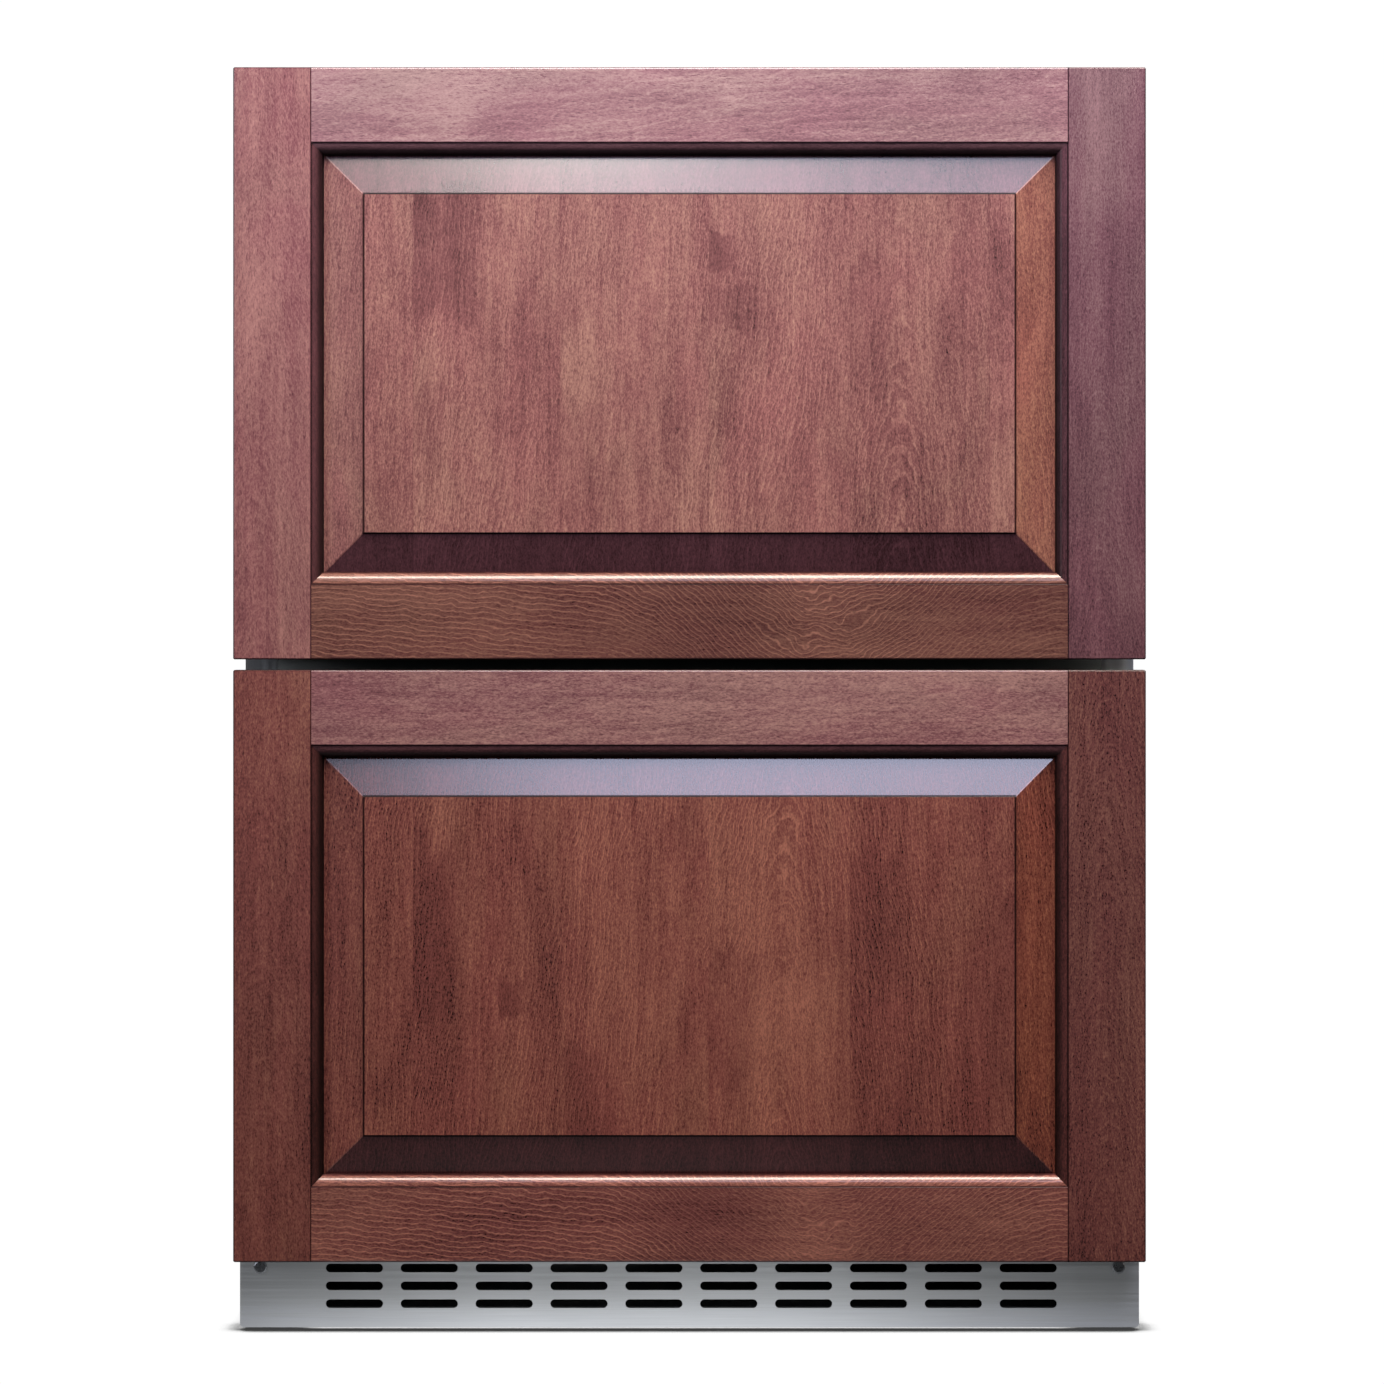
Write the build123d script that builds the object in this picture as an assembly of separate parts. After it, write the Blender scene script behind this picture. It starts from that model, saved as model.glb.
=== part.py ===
"""Under-counter refrigerator with two drawers behind framed wooden fronts.

Millimetres. The origin is on the floor under the middle of the object: +X is the right-hand side
of somebody who faces the drawers, +Y runs to the back and +Z is up. Every function makes one
sub-part; main() writes each of them to parts/NODE.step.
"""

from build123d import *
import os

# ---- Driving dimensions -------------------------------------------------------------------------
WIDTH = 597.0  # across the wooden fronts
HEIGHT = 832.0  # floor to the top edge of the upper front
DEPTH = 610.0  # wooden face to the screw heads on the back
FRONT_HEIGHT = 387.3  # one wooden front
FRONT_GAP = 6.9  # between the two fronts
FRONT_THICKNESS = 19.0

# Wooden front: frame members and raised panel
STILE_FACE = 51.0  # flat face of a stile, outer edge to the moulded edge
RAIL_FACE = 49.2
EDGE_ROUND = 1.3  # eased outer edge
ARRIS = 0.3  # sanded-off sharp edges
STEP = 1.0  # small step between the face and the bead
BEAD = 7.2  # radius of the quarter-round bead
BEAD_FLAT = 0.8
STICKING = BEAD + BEAD_FLAT  # width of the moulded edge
GROOVE_FRONT, GROOVE_BACK = 8.6, 14.8  # depth of the groove's two walls behind the face
GROOVE_DEPTH = 9.0
JOINT_LINE = 0.15  # hairline between a rail and a stile
FIELD_DEPTH = 0.8  # the field lies this far behind the frame's face
FIELD_STEP = 1.2
BEVEL = 25.6  # width of the raised panel's bevel
TONGUE_PLAY = 0.3
PANEL_SCREW = 2.1  # shank radius
PANEL_SCREW_INSET_X, PANEL_SCREW_INSET_Z = 28.5, 62.0

# Steel drawer door behind the wooden front
DOOR_HALF_WIDTH = 295.0
DOOR_INSET = 1.5  # the door is this much lower than the wood, top and bottom
DOOR_SHEET = 1.0
DOOR_DEPTH = 40.0
DOOR_LIP = 14.0
DOOR_LINER = 3.0
PLINTH_RISE = 7.0  # raised middle of the door's inner liner
PLINTH_INSET = 28.0
GASKET_OUTER, GASKET_WIDTH = 284.0, 14.0
GASKET_INSET = 12.0

# Cabinet
CABINET_HALF_WIDTH = 295.5
CABINET_FACE = -231.0  # y of the steel face that the gaskets close on
CABINET_TOP = HEIGHT - 2.5
SHELL = 1.0
REAR_FLANGE = 20.0  # turned-in rear edge that the rear sheets are screwed to
UNDERSIDE = 12.0  # the feet lift the base pan this far
SHELL_FLANGE = 33.5
LINER = 1.5
LINER_FLANGE = 9.0  # the liner's edge behind the face frame
CAVITY_HALF_WIDTH = 259.0
CAVITY_FLOOR, CAVITY_TOP, CAVITY_BACK = 92.0, 792.5, 266.0
STEP_Y, STEP_Z = 68.0, 280.0  # the cavity steps over the machine bay
BAY_FRONT, BAY_TOP = 105.0, 245.0
UNDERFLOOR = 59.0
MULLION_HALF_HEIGHT, MULLION_DEPTH = 24.0, 36.0
MULLION_STRIP_HALF_WIDTH = 274.0
MULLION_SHEET = 1.2
DRAIN_X, DRAIN_Y, DRAIN_BORE = 135.0, 205.0, 6.0

# Kick plate
KICK_HALF_WIDTH = 297.5
KICK_FACE = -255.0
KICK_SHEET = 1.2
KICK_BOTTOM, KICK_TOP = 2.4, 49.5
KICK_RETURN = 46.0
SLOT_LENGTH, SLOT_HEIGHT = 37.8, 5.7
SLOT_PITCH_X, SLOT_COLUMNS = 49.55, 10
SLOT_MIDDLE_X = 1.2  # the slots sit slightly off the middle
SLOT_ROWS = (18.0, 29.8, 41.6)
KICK_SCREW_X, KICK_SCREW_Z = 284.0, 42.2

# Drawer boxes and slides
BOX_HALF_WIDTH = 244.0
BOX_SHEET = 1.2
BOX_BACK = 195.0
BOX_RIM = 7.0
BOX_LIP = 6.0
BOX_SLOT_LENGTH, BOX_SLOT_HEIGHT = 32.0, 6.0
BOX_SLOT_PITCH, BOX_SLOT_ROW, BOX_SLOT_DROP = 46.0, 16.0, 34.0
UPPER_BOX_FLOOR, UPPER_BOX_TOP = 474.0, 706.0
LOWER_BOX_FLOOR, LOWER_BOX_TOP = 104.0, 376.0
LOWER_BOX_STEP_Y, LOWER_BOX_STEP_Z = 52.0, 292.0
SLIDE_Z = {"upper": 560.0, "lower": 336.0}
SLIDE_FRONT = -226.0
SLIDE_LENGTH = 420.0
SLIDE_SHEET = 1.5
SLIDE_MEMBERS = {  # x of the web's outer face, side its lips point to, half height, lip
    "cabinet": (CAVITY_HALF_WIDTH, -1, 22.5, 9.0),
    "middle": (CAVITY_HALF_WIDTH - 4.0, -1, 17.5, 5.0),
    "box": (BOX_HALF_WIDTH, 1, 14.0, 6.0),
}

# Machine bay
COMPRESSOR_X, COMPRESSOR_Y = 135.0, 205.0
COMPRESSOR_RADIUS = 64.0
COMPRESSOR_FOOT_X, COMPRESSOR_FOOT_Y = 80.0, 55.0
COMPRESSOR_PLATE_Z, COMPRESSOR_PLATE = 34.0, 4.0
COMPRESSOR_HEIGHT = 152.0
STUB_HEIGHT, STUB_REACH = 84.0, 9.0  # pipe stubs: above the plate, and out from the can
SEAM_HEIGHT, SEAM_REACH = 60.0, 4.0
CONDENSER_X = (-262.0, -222.0)
CONDENSER_Y = (134.0, 258.0)
CONDENSER_Z = (40.0, 210.0)
CONDENSER_ROWS, CONDENSER_FINS = 6, 28
TUBE_RADIUS, TUBE_OVERHANG = 4.0, 6.0
FAN_X, FAN_Y, FAN_Z = -178.0, 198.0, 122.0
FAN_RADIUS = 72.0
GLAND_X, GLAND_Z, GLAND_BORE, GLAND_LENGTH = 245.0, 60.0, 4.5, 16.0
GLAND_RADIUS = 8.0
FRONT_LANE, REAR_LANE = 113.0, 288.0  # y of the pipes along the bay's front and back
DRIER_X, DRIER_Y, DRIER_Z = 10.0, 126.0, (75.0, 155.0)

# Inside the food compartment
COVER_Y, COVER_HALF_WIDTH = 222.0, 236.0
COVER_BOTTOM, COVER_TOP = 300.0, 776.0
AIR_FAN_Z, AIR_FAN_RADIUS = 680.0, 48.0
EVAPORATOR_HALF_WIDTH, EVAPORATOR_Y = 190.0, 245.5
EVAPORATOR_FIRST_ROW, EVAPORATOR_PITCH, EVAPORATOR_ROWS = 340.0, 34.0, 7
EVAPORATOR_FINS = 34
KEYS = {"key_power": -62.0, "key_colder": 40.0, "key_warmer": 62.0}
KEY_SIZE, KEY_Z = (15.0, 8.0), 779.0
KEY_PROUD, KEY_PLAY = 1.5, 0.35

# Feet
FEET = {
    "foot_front_left": (-258.0, -196.0),
    "foot_front_right": (258.0, -196.0),
    "foot_rear_left": (-258.0, 270.0),
    "foot_rear_right": (258.0, 270.0),
}
FOOT_RADIUS, FOOT_STEM, FOOT_LENGTH = 17.0, 5.0, 33.0
RUNNING_FIT = 0.06  # radial clearance of a shaft or stem in its hole

# Screws
SCREW_RADIUS, SCREW_LENGTH = 2.0, 6.0
SCREW_HEAD_RADIUS, SCREW_HEAD = 4.3, 1.8
SCREW_HOLE = 2.05

# ---- Worked out from the driving dimensions -----------------------------------------------------
FACE_Y = -DEPTH / 2
WOOD_BACK = FACE_Y + FRONT_THICKNESS
DOOR_BACK = WOOD_BACK + DOOR_DEPTH
BACK_SHEET = DEPTH / 2 - SHELL - SCREW_HEAD  # y of the front surface of the rear sheets
FRONTS = {
    "upper": (HEIGHT - FRONT_HEIGHT, HEIGHT),
    "lower": (HEIGHT - 2 * FRONT_HEIGHT - FRONT_GAP, HEIGHT - FRONT_HEIGHT - FRONT_GAP),
}
GAP_MIDDLE = HEIGHT - FRONT_HEIGHT - FRONT_GAP / 2
SHELL_INSIDE = CABINET_HALF_WIDTH - SHELL
PLINTH_BACK = DOOR_BACK + DOOR_LINER + PLINTH_RISE
MULLION_Z = (GAP_MIDDLE - MULLION_HALF_HEIGHT, GAP_MIDDLE + MULLION_HALF_HEIGHT)
CONTROL_FACE = CABINET_FACE + SHELL + 2.0
CAN_BOTTOM = COMPRESSOR_PLATE_Z + COMPRESSOR_PLATE
TRAY_BOTTOM = CAN_BOTTOM + COMPRESSOR_HEIGHT
PAN_TOP = UNDERSIDE + 1.5


# ---- Small helpers ------------------------------------------------------------------------------
def block(x, y, z):
    """A box from three (low, high) pairs."""
    size = [hi - lo for lo, hi in (x, y, z)]
    middle = [(lo + hi) / 2 for lo, hi in (x, y, z)]
    return Pos(*middle) * Box(*size)


def both(half):
    """The pair (-half, half)."""
    return (-half, half)


def rod(start, along, length, radius):
    """A cylinder that starts at a point and runs along X, Y or Z."""
    turn = {"X": Rot(0, 90, 0), "Y": Rot(-90, 0, 0), "Z": Rot(0, 0, 0)}[along]
    base = Cylinder(radius, length, align=(Align.CENTER, Align.CENTER, Align.MIN))
    return Pos(*start) * turn * base


def frame_ring(half_x, z, width, y):
    """A rectangular ring round an opening in the front plane."""
    lo, hi = z
    hole = block(both(half_x - width), (y[0] - 1, y[1] + 1), (lo + width, hi - width))
    return block(both(half_x), y, z) - hole


def from_side(points, x, radius=0.0):
    """An outline of (y, z) points, its corners rounded, extruded between two x values."""
    face = make_face(Polyline(*points, close=True))
    if radius:
        face = fillet(face.vertices(), radius)
    return extrude(Plane.YZ.offset(x[0]) * face, x[1] - x[0])


def slots(centres, length, height, y):
    """Round-ended slots along X, as cutters that run through y."""
    sketch = Sketch() + [Pos(cx, cz) * SlotOverall(length, height) for cx, cz in centres]
    return extrude(Plane.XZ.offset(-y[1]) * sketch, y[1] - y[0])


def mirrored(part):
    """The part with its twin on the other side of the middle plane."""
    return part + mirror(part, about=Plane.YZ)


def screw_bore(x, y, z):
    """A cutter along Y for a screw that passes through the plane y."""
    return rod((x, y - SCREW_LENGTH - 2.0, z), "Y", SCREW_LENGTH + 6.0, SCREW_HOLE)


def pan_head_screw(x, y, z, outward):
    """A cross-recessed screw whose head stands on the plane y and faces +Y or -Y."""
    head = rod((0, 0, 0), "Z", SCREW_HEAD, SCREW_HEAD_RADIUS)
    head = fillet(head.edges().sort_by(Axis.Z)[-1], 1.0)
    head -= Pos(0, 0, SCREW_HEAD) * (Box(5.0, 1.1, 1.8) + Box(1.1, 5.0, 1.8))
    head += rod((0, 0, -SCREW_LENGTH), "Z", SCREW_LENGTH, SCREW_RADIUS)
    return Pos(x, y, z) * Rot(-90 * outward, 0, 0) * head


# ---- Wooden fronts ------------------------------------------------------------------------------
def member_face(face):
    """Cross-section of a frame member: x is the distance from its outer edge, y the depth."""
    inner = face + STICKING
    outline = (
        Line((0, EDGE_ROUND), (0, FRONT_THICKNESS))
        + Line((0, FRONT_THICKNESS), (inner, FRONT_THICKNESS))
        + Line((inner, FRONT_THICKNESS), (inner, GROOVE_BACK))
        + Line((inner, GROOVE_BACK), (inner - GROOVE_DEPTH, GROOVE_BACK))
        + Line((inner - GROOVE_DEPTH, GROOVE_BACK), (inner - GROOVE_DEPTH, GROOVE_FRONT))
        + Line((inner - GROOVE_DEPTH, GROOVE_FRONT), (inner, GROOVE_FRONT))
        + Line((inner, GROOVE_FRONT), (inner, STEP + BEAD))
        + CenterArc((inner - BEAD, STEP + BEAD), BEAD, -90, 90)
        + Line((inner - BEAD, STEP), (face, STEP))
        + Line((face, STEP), (face, ARRIS))
        + Line((face, ARRIS), (face - ARRIS, 0))
        + Line((face - ARRIS, 0), (EDGE_ROUND, 0))
        + CenterArc((EDGE_ROUND, EDGE_ROUND), EDGE_ROUND, 180, 90)
    )
    return make_face(outline)


def left_stile(drawer):
    z0, z1 = FRONTS[drawer]
    plane = Plane(origin=(-WIDTH / 2, FACE_Y, z0), x_dir=(1, 0, 0), z_dir=(0, 0, 1))
    stile = extrude(plane * member_face(STILE_FACE), z1 - z0)
    ends = stile.faces().filter_by(Axis.Z).edges().filter_by(Plane.XY)
    outer = [e for e in ends if abs(e.center().Y - FACE_Y) < 1e-3 and e.length > 20]
    return chamfer(outer, EDGE_ROUND * 0.6)


def right_stile(drawer):
    return mirror(left_stile(drawer), about=Plane.YZ)


def rail(drawer, at_top):
    """A rail, coped over the moulded edges of both stiles, with stub tenons in their grooves."""
    z0, z1 = FRONTS[drawer]
    half = WIDTH / 2 - STILE_FACE - JOINT_LINE
    plane = Plane(origin=(half, FACE_Y, z0), x_dir=(0, 0, 1), z_dir=(-1, 0, 0))
    blank = extrude(plane * member_face(RAIL_FACE), 2 * half)
    if at_top:
        middle = Plane.XY.offset((z0 + z1) / 2)
        blank = mirror(blank, about=middle)
    return blank - left_stile(drawer) - right_stile(drawer)


def centre_panel(drawer):
    """The raised panel, floating in the frame's grooves."""
    z0, z1 = FRONTS[drawer]
    sight_x = WIDTH - 2 * (STILE_FACE + STICKING)
    sight_z = z1 - z0 - 2 * (RAIL_FACE + STICKING)
    overlap = GROOVE_DEPTH - 2.0
    tongue_front = FACE_Y + GROOVE_FRONT + TONGUE_PLAY
    tongue_back = FACE_Y + GROOVE_BACK - TONGUE_PLAY
    field_edge = FACE_Y + FIELD_DEPTH + FIELD_STEP
    middle = (z0 + z1) / 2
    tongue = block(
        both(sight_x / 2 + overlap),
        (tongue_front, tongue_back),
        (middle - sight_z / 2 - overlap, middle + sight_z / 2 + overlap),
    )
    low = Plane.XZ.offset(-tongue_front) * Pos(0, middle) * Rectangle(sight_x, sight_z)
    field = (sight_x - 2 * BEVEL, sight_z - 2 * BEVEL)
    high = Plane.XZ.offset(-field_edge) * Pos(0, middle) * Rectangle(*field)
    top = block(
        both(field[0] / 2),
        (FACE_Y + FIELD_DEPTH, field_edge),
        (middle - field[1] / 2, middle + field[1] / 2),
    )
    top = chamfer(top.edges().group_by(Axis.Y)[0], ARRIS)
    return tongue + loft([low, high], ruled=True) + top


def panel_screw_places(drawer):
    z0, z1 = FRONTS[drawer]
    x = WIDTH / 2 - PANEL_SCREW_INSET_X
    heights = (z0 + PANEL_SCREW_INSET_Z, z1 - PANEL_SCREW_INSET_Z)
    return [(s * x, z) for s in (-1, 1) for z in heights]


def panel_screws(drawer):
    """Screws driven from inside the steel door into the stiles."""
    head_y = WOOD_BACK + DOOR_SHEET
    screws = []
    for x, z in panel_screw_places(drawer):
        shank = rod((x, head_y - 13.0, z), "Y", 13.0, PANEL_SCREW)
        screws.append(shank + rod((x, head_y, z), "Y", 2.4, 4.4))
    return screws


def screw_holes(drawer):
    """Cutters for the panel screws, a little wider than their shanks."""
    places = panel_screw_places(drawer)
    start, length = WOOD_BACK - 13.0, 13.0 + 2 * DOOR_SHEET
    return [rod((x, start, z), "Y", length, PANEL_SCREW + 0.05) for x, z in places]


# ---- Steel doors --------------------------------------------------------------------------------
def door_z(drawer):
    z0, z1 = FRONTS[drawer]
    return (z0 + DOOR_INSET, z1 - DOOR_INSET)


def door_pan(drawer):
    """Folded steel tray with a lip round its open back."""
    z0, z1 = door_z(drawer)
    s = DOOR_SHEET
    pan = block(both(DOOR_HALF_WIDTH), (WOOD_BACK, DOOR_BACK), (z0, z1))
    pan = fillet(pan.edges().filter_by(Axis.Y), 2.0)
    pan -= block(both(DOOR_HALF_WIDTH - s), (WOOD_BACK + s, DOOR_BACK - s), (z0 + s, z1 - s))
    mouth = DOOR_HALF_WIDTH - DOOR_LIP
    pan -= block(both(mouth), (DOOR_BACK - 2 * s, DOOR_BACK + s), (z0 + DOOR_LIP, z1 - DOOR_LIP))
    return pan - screw_holes(drawer)


def door_foam(drawer):
    """Foam that fills the steel door and the raised middle of its liner."""
    z0, z1 = door_z(drawer)
    s = DOOR_SHEET
    foam = block(
        both(DOOR_HALF_WIDTH - s), (WOOD_BACK + s, DOOR_BACK - s), (z0 + s, z1 - s)
    )
    mouth = DOOR_HALF_WIDTH - DOOR_LIP
    foam += block(both(mouth), (DOOR_BACK - 2 * s, DOOR_BACK), (z0 + DOOR_LIP, z1 - DOOR_LIP))
    core = DOOR_HALF_WIDTH - PLINTH_INSET - DOOR_LINER
    rise = (DOOR_BACK - s, PLINTH_BACK - DOOR_LINER)
    inset = PLINTH_INSET + DOOR_LINER
    foam += block(both(core), rise, (z0 + inset, z1 - inset))
    heads = [
        rod((x, WOOD_BACK + s, z), "Y", 2.4, 4.4) for x, z in panel_screw_places(drawer)
    ]
    return foam - heads


def door_liner(drawer):
    """Thermoformed plastic back of the door, with a raised middle that the box is fixed to."""
    z0, z1 = door_z(drawer)
    edge = 1.0
    plate = block(
        both(DOOR_HALF_WIDTH - edge), (DOOR_BACK, DOOR_BACK + DOOR_LINER), (z0 + edge, z1 - edge)
    )
    half, z = DOOR_HALF_WIDTH - PLINTH_INSET, (z0 + PLINTH_INSET, z1 - PLINTH_INSET)
    plinth = block(both(half), (DOOR_BACK, PLINTH_BACK), z)
    plinth = fillet(plinth.edges().filter_by(Axis.Y), 8.0)
    core = DOOR_HALF_WIDTH - PLINTH_INSET - DOOR_LINER
    inset = PLINTH_INSET + DOOR_LINER
    hollow = (DOOR_BACK - 1, PLINTH_BACK - DOOR_LINER)
    return plate + plinth - block(both(core), hollow, (z0 + inset, z1 - inset))


def door_gasket(drawer):
    """Magnetic gasket: a base strip, a narrower neck and the magnet strip that meets the cabinet."""
    z0, z1 = door_z(drawer)
    z = (z0 + GASKET_INSET, z1 - GASKET_INSET)
    start = DOOR_BACK + DOOR_LINER
    end = CABINET_FACE - 0.3
    half = GASKET_OUTER
    base = frame_ring(half, z, GASKET_WIDTH, (start, start + 3.0))
    neck_z = (z[0] + 4.0, z[1] - 4.0)
    neck = frame_ring(half - 4.0, neck_z, GASKET_WIDTH - 8.0, (start + 3.0, end - 5.0))
    tube_z = (z[0] + 1.0, z[1] - 1.0)
    tube = frame_ring(half - 1.0, tube_z, GASKET_WIDTH - 2.0, (end - 5.0, end))
    return base + neck + tube


# ---- Drawer boxes and slides --------------------------------------------------------------------
def box_outline(drawer):
    """Side outline of a drawer box as (y, z) points; the lower one steps up over the machine bay."""
    front, back = PLINTH_BACK, BOX_BACK
    if drawer == "upper":
        floor, top = UPPER_BOX_FLOOR, UPPER_BOX_TOP
        return [(front, floor), (back, floor), (back, top), (front, top)]
    floor, top = LOWER_BOX_FLOOR, LOWER_BOX_TOP
    step_y, step_z = LOWER_BOX_STEP_Y, LOWER_BOX_STEP_Z
    return [
        (front, floor),
        (step_y, floor),
        (step_y, step_z),
        (back, step_z),
        (back, top),
        (front, top),
    ]


def drawer_box(drawer):
    """Sheet-steel box, spot-welded from flat panels, with turned-out rims and slots in its back."""
    sheet = BOX_SHEET
    outline = box_outline(drawer)
    top = outline[-1][1]
    inner = BOX_HALF_WIDTH - sheet
    panels = []
    for side in (-1, 1):
        edge = side * BOX_HALF_WIDTH
        lip = side * (BOX_HALF_WIDTH + BOX_RIM)
        panels.append(from_side(outline, sorted((side * inner, edge))))
        rim = block(sorted((edge, lip)), (PLINTH_BACK, BOX_BACK), (top - sheet, top))
        rim += block(sorted((lip - side * sheet, lip)), (PLINTH_BACK, BOX_BACK), (top - BOX_LIP, top))
        panels.append(rim)
    front, back = (PLINTH_BACK, PLINTH_BACK + sheet), (BOX_BACK - sheet, BOX_BACK)
    floor = outline[0][1]
    panels.append(block(both(inner), front, (floor, top)))
    if drawer == "upper":
        panels.append(block(both(inner), (front[1], back[0]), (floor, floor + sheet)))
        back_foot = floor
    else:
        riser = (LOWER_BOX_STEP_Y - sheet, LOWER_BOX_STEP_Y)
        panels.append(block(both(inner), (front[1], riser[1]), (floor, floor + sheet)))
        panels.append(block(both(inner), riser, (floor + sheet, LOWER_BOX_STEP_Z)))
        shelf = (LOWER_BOX_STEP_Z, LOWER_BOX_STEP_Z + sheet)
        panels.append(block(both(inner), (riser[0], back[0]), shelf))
        back_foot = LOWER_BOX_STEP_Z
    rows = [top - BOX_SLOT_DROP - row * BOX_SLOT_ROW for row in range(2)]
    centres = [(column * BOX_SLOT_PITCH, z) for column in range(-4, 5) for z in rows]
    air = slots(centres, BOX_SLOT_LENGTH, BOX_SLOT_HEIGHT, (back[0] - 1.0, back[1] + 1.0))
    panels.append(block(both(inner), back, (back_foot, top)) - air)
    return panels


def channel(x_web, toward, half_height, lip, y, z):
    """A C-shaped rail along Y: an upright web at x_web with two lips toward +1 or -1 in x."""
    web = sorted((x_web, x_web + toward * SLIDE_SHEET))
    lips = sorted((x_web, x_web + toward * lip))
    channel_part = block(web, y, (z - half_height, z + half_height))
    for side in (-1, 1):
        outer = z + side * half_height
        channel_part += block(lips, y, sorted((outer, outer - side * SLIDE_SHEET)))
    return channel_part


def slide_rails(member, drawer):
    """Both sides of one member of a telescopic slide: on the cabinet, between, or on the box."""
    x_web, toward, half_height, lip = SLIDE_MEMBERS[member]
    y = (SLIDE_FRONT, SLIDE_FRONT + SLIDE_LENGTH)
    return mirrored(channel(x_web, toward, half_height, lip, y, SLIDE_Z[drawer]))


# ---- Cabinet ------------------------------------------------------------------------------------
def cabinet_shell():
    """Outer wrapper: top and two sides, with a turned-in face frame and turned-in rear edges."""
    y = (CABINET_FACE, BACK_SHEET)
    shell = block(both(CABINET_HALF_WIDTH), y, (UNDERSIDE, CABINET_TOP))
    shell = fillet(shell.edges().filter_by(Axis.Y).group_by(Axis.Z)[-1], 2.5)
    low = UNDERSIDE - 1.0
    shell -= block(both(SHELL_INSIDE), (y[0] + SHELL, y[1] - SHELL), (low, CABINET_TOP - SHELL))
    mouth = CABINET_HALF_WIDTH - SHELL_FLANGE
    front = (y[0] - 1.0, y[0] + 2 * SHELL)
    shell -= block(both(mouth), front, (low, CABINET_TOP - SHELL_FLANGE))
    shell -= block(both(MULLION_STRIP_HALF_WIDTH), front, MULLION_Z)
    shell -= block(both(SHELL_INSIDE), front, (low, PAN_TOP))
    rear = (y[1] - 2 * SHELL, y[1] + 1.0)
    shell -= block(both(SHELL_INSIDE - REAR_FLANGE), rear, (low, CABINET_TOP - SHELL - REAR_FLANGE))
    shell -= block(both(SHELL_INSIDE), rear, (low, PAN_TOP))
    return shell - back_screw_bores()


def cavity_outline(grow, front):
    """Side outline of the food compartment, stepped over the machine bay."""
    return [
        (front, CAVITY_FLOOR - grow),
        (STEP_Y + grow, CAVITY_FLOOR - grow),
        (STEP_Y + grow, STEP_Z - grow),
        (CAVITY_BACK + grow, STEP_Z - grow),
        (CAVITY_BACK + grow, CAVITY_TOP + grow),
        (front, CAVITY_TOP + grow),
    ]


def liner_solid():
    """The liner's outer shape without its hollow: the space that the foam leaves free."""
    face = CABINET_FACE + SHELL
    half = CAVITY_HALF_WIDTH + LINER
    solid = from_side(cavity_outline(LINER, face), both(half))
    rim = LINER + LINER_FLANGE
    flange_z = (CAVITY_FLOOR - rim, CAVITY_TOP + rim)
    solid += block(both(CAVITY_HALF_WIDTH + rim), (face, face + LINER), flange_z)
    spout_top = STEP_Z - LINER
    return solid + rod((DRAIN_X, DRAIN_Y, spout_top - 56.0), "Z", 56.0, DRAIN_BORE + LINER)


def inner_liner():
    """Moulded liner of the food compartment, with a drain spout over the evaporation tray."""
    liner = liner_solid() - from_side(cavity_outline(0.0, CABINET_FACE), both(CAVITY_HALF_WIDTH))
    liner -= rod((DRAIN_X, DRAIN_Y, STEP_Z - 80.0), "Z", 90.0, DRAIN_BORE)
    return liner - evaporator_lines()


def foam_insulation():
    """Foam between the shell, the liner and the machine bay."""
    face = CABINET_FACE + SHELL
    wall, roof = BAY_FRONT - 1.0, BAY_TOP + 1.0
    outline = [
        (face, UNDERFLOOR + 1.0),
        (wall, UNDERFLOOR + 1.0),
        (wall, roof),
        (BACK_SHEET, roof),
        (BACK_SHEET, CABINET_TOP - SHELL),
        (face, CABINET_TOP - SHELL),
    ]
    foam = from_side(outline, both(SHELL_INSIDE)) - liner_solid() - cabinet_shell()
    return foam - evaporator_lines() - back_screw_bores()


def mullion_bar():
    """Hollow bar across the opening, with a wider front strip that both gaskets close on."""
    s = MULLION_SHEET
    back = CABINET_FACE + MULLION_DEPTH
    bar = block(both(CAVITY_HALF_WIDTH), (CABINET_FACE, back), MULLION_Z)
    bar = fillet(bar.edges().filter_by(Axis.X).group_by(Axis.Y)[-1], 3.0)
    hollow_z = (MULLION_Z[0] + s, MULLION_Z[1] - s)
    bar -= block(both(CABINET_HALF_WIDTH), (CABINET_FACE + s, back - s), hollow_z)
    strip_y = (CABINET_FACE, CABINET_FACE + SHELL)
    return bar + block(both(MULLION_STRIP_HALF_WIDTH), strip_y, MULLION_Z)


def underbody_sheet():
    """One folded sheet: underside of the food compartment, front and roof of the machine bay."""
    s = SHELL
    front, back = CABINET_FACE + SHELL, BACK_SHEET - SHELL
    outline = [
        (front, UNDERFLOOR),
        (BAY_FRONT, UNDERFLOOR),
        (BAY_FRONT, BAY_TOP),
        (back, BAY_TOP),
        (back, BAY_TOP + s),
        (BAY_FRONT - s, BAY_TOP + s),
        (BAY_FRONT - s, UNDERFLOOR + s),
        (front, UNDERFLOOR + s),
    ]
    sheet = from_side(outline, both(SHELL_INSIDE))
    lip_z = (BAY_TOP - 17.0, BAY_TOP + s)
    sheet += block(both(SHELL_INSIDE - REAR_FLANGE - 2.0), (back, BACK_SHEET), lip_z)
    sheet -= rod((DRAIN_X, DRAIN_Y, BAY_TOP - 2.0), "Z", 6.0, DRAIN_BORE + LINER + 0.5)
    return sheet - evaporator_lines() - back_screw_bores()


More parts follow.
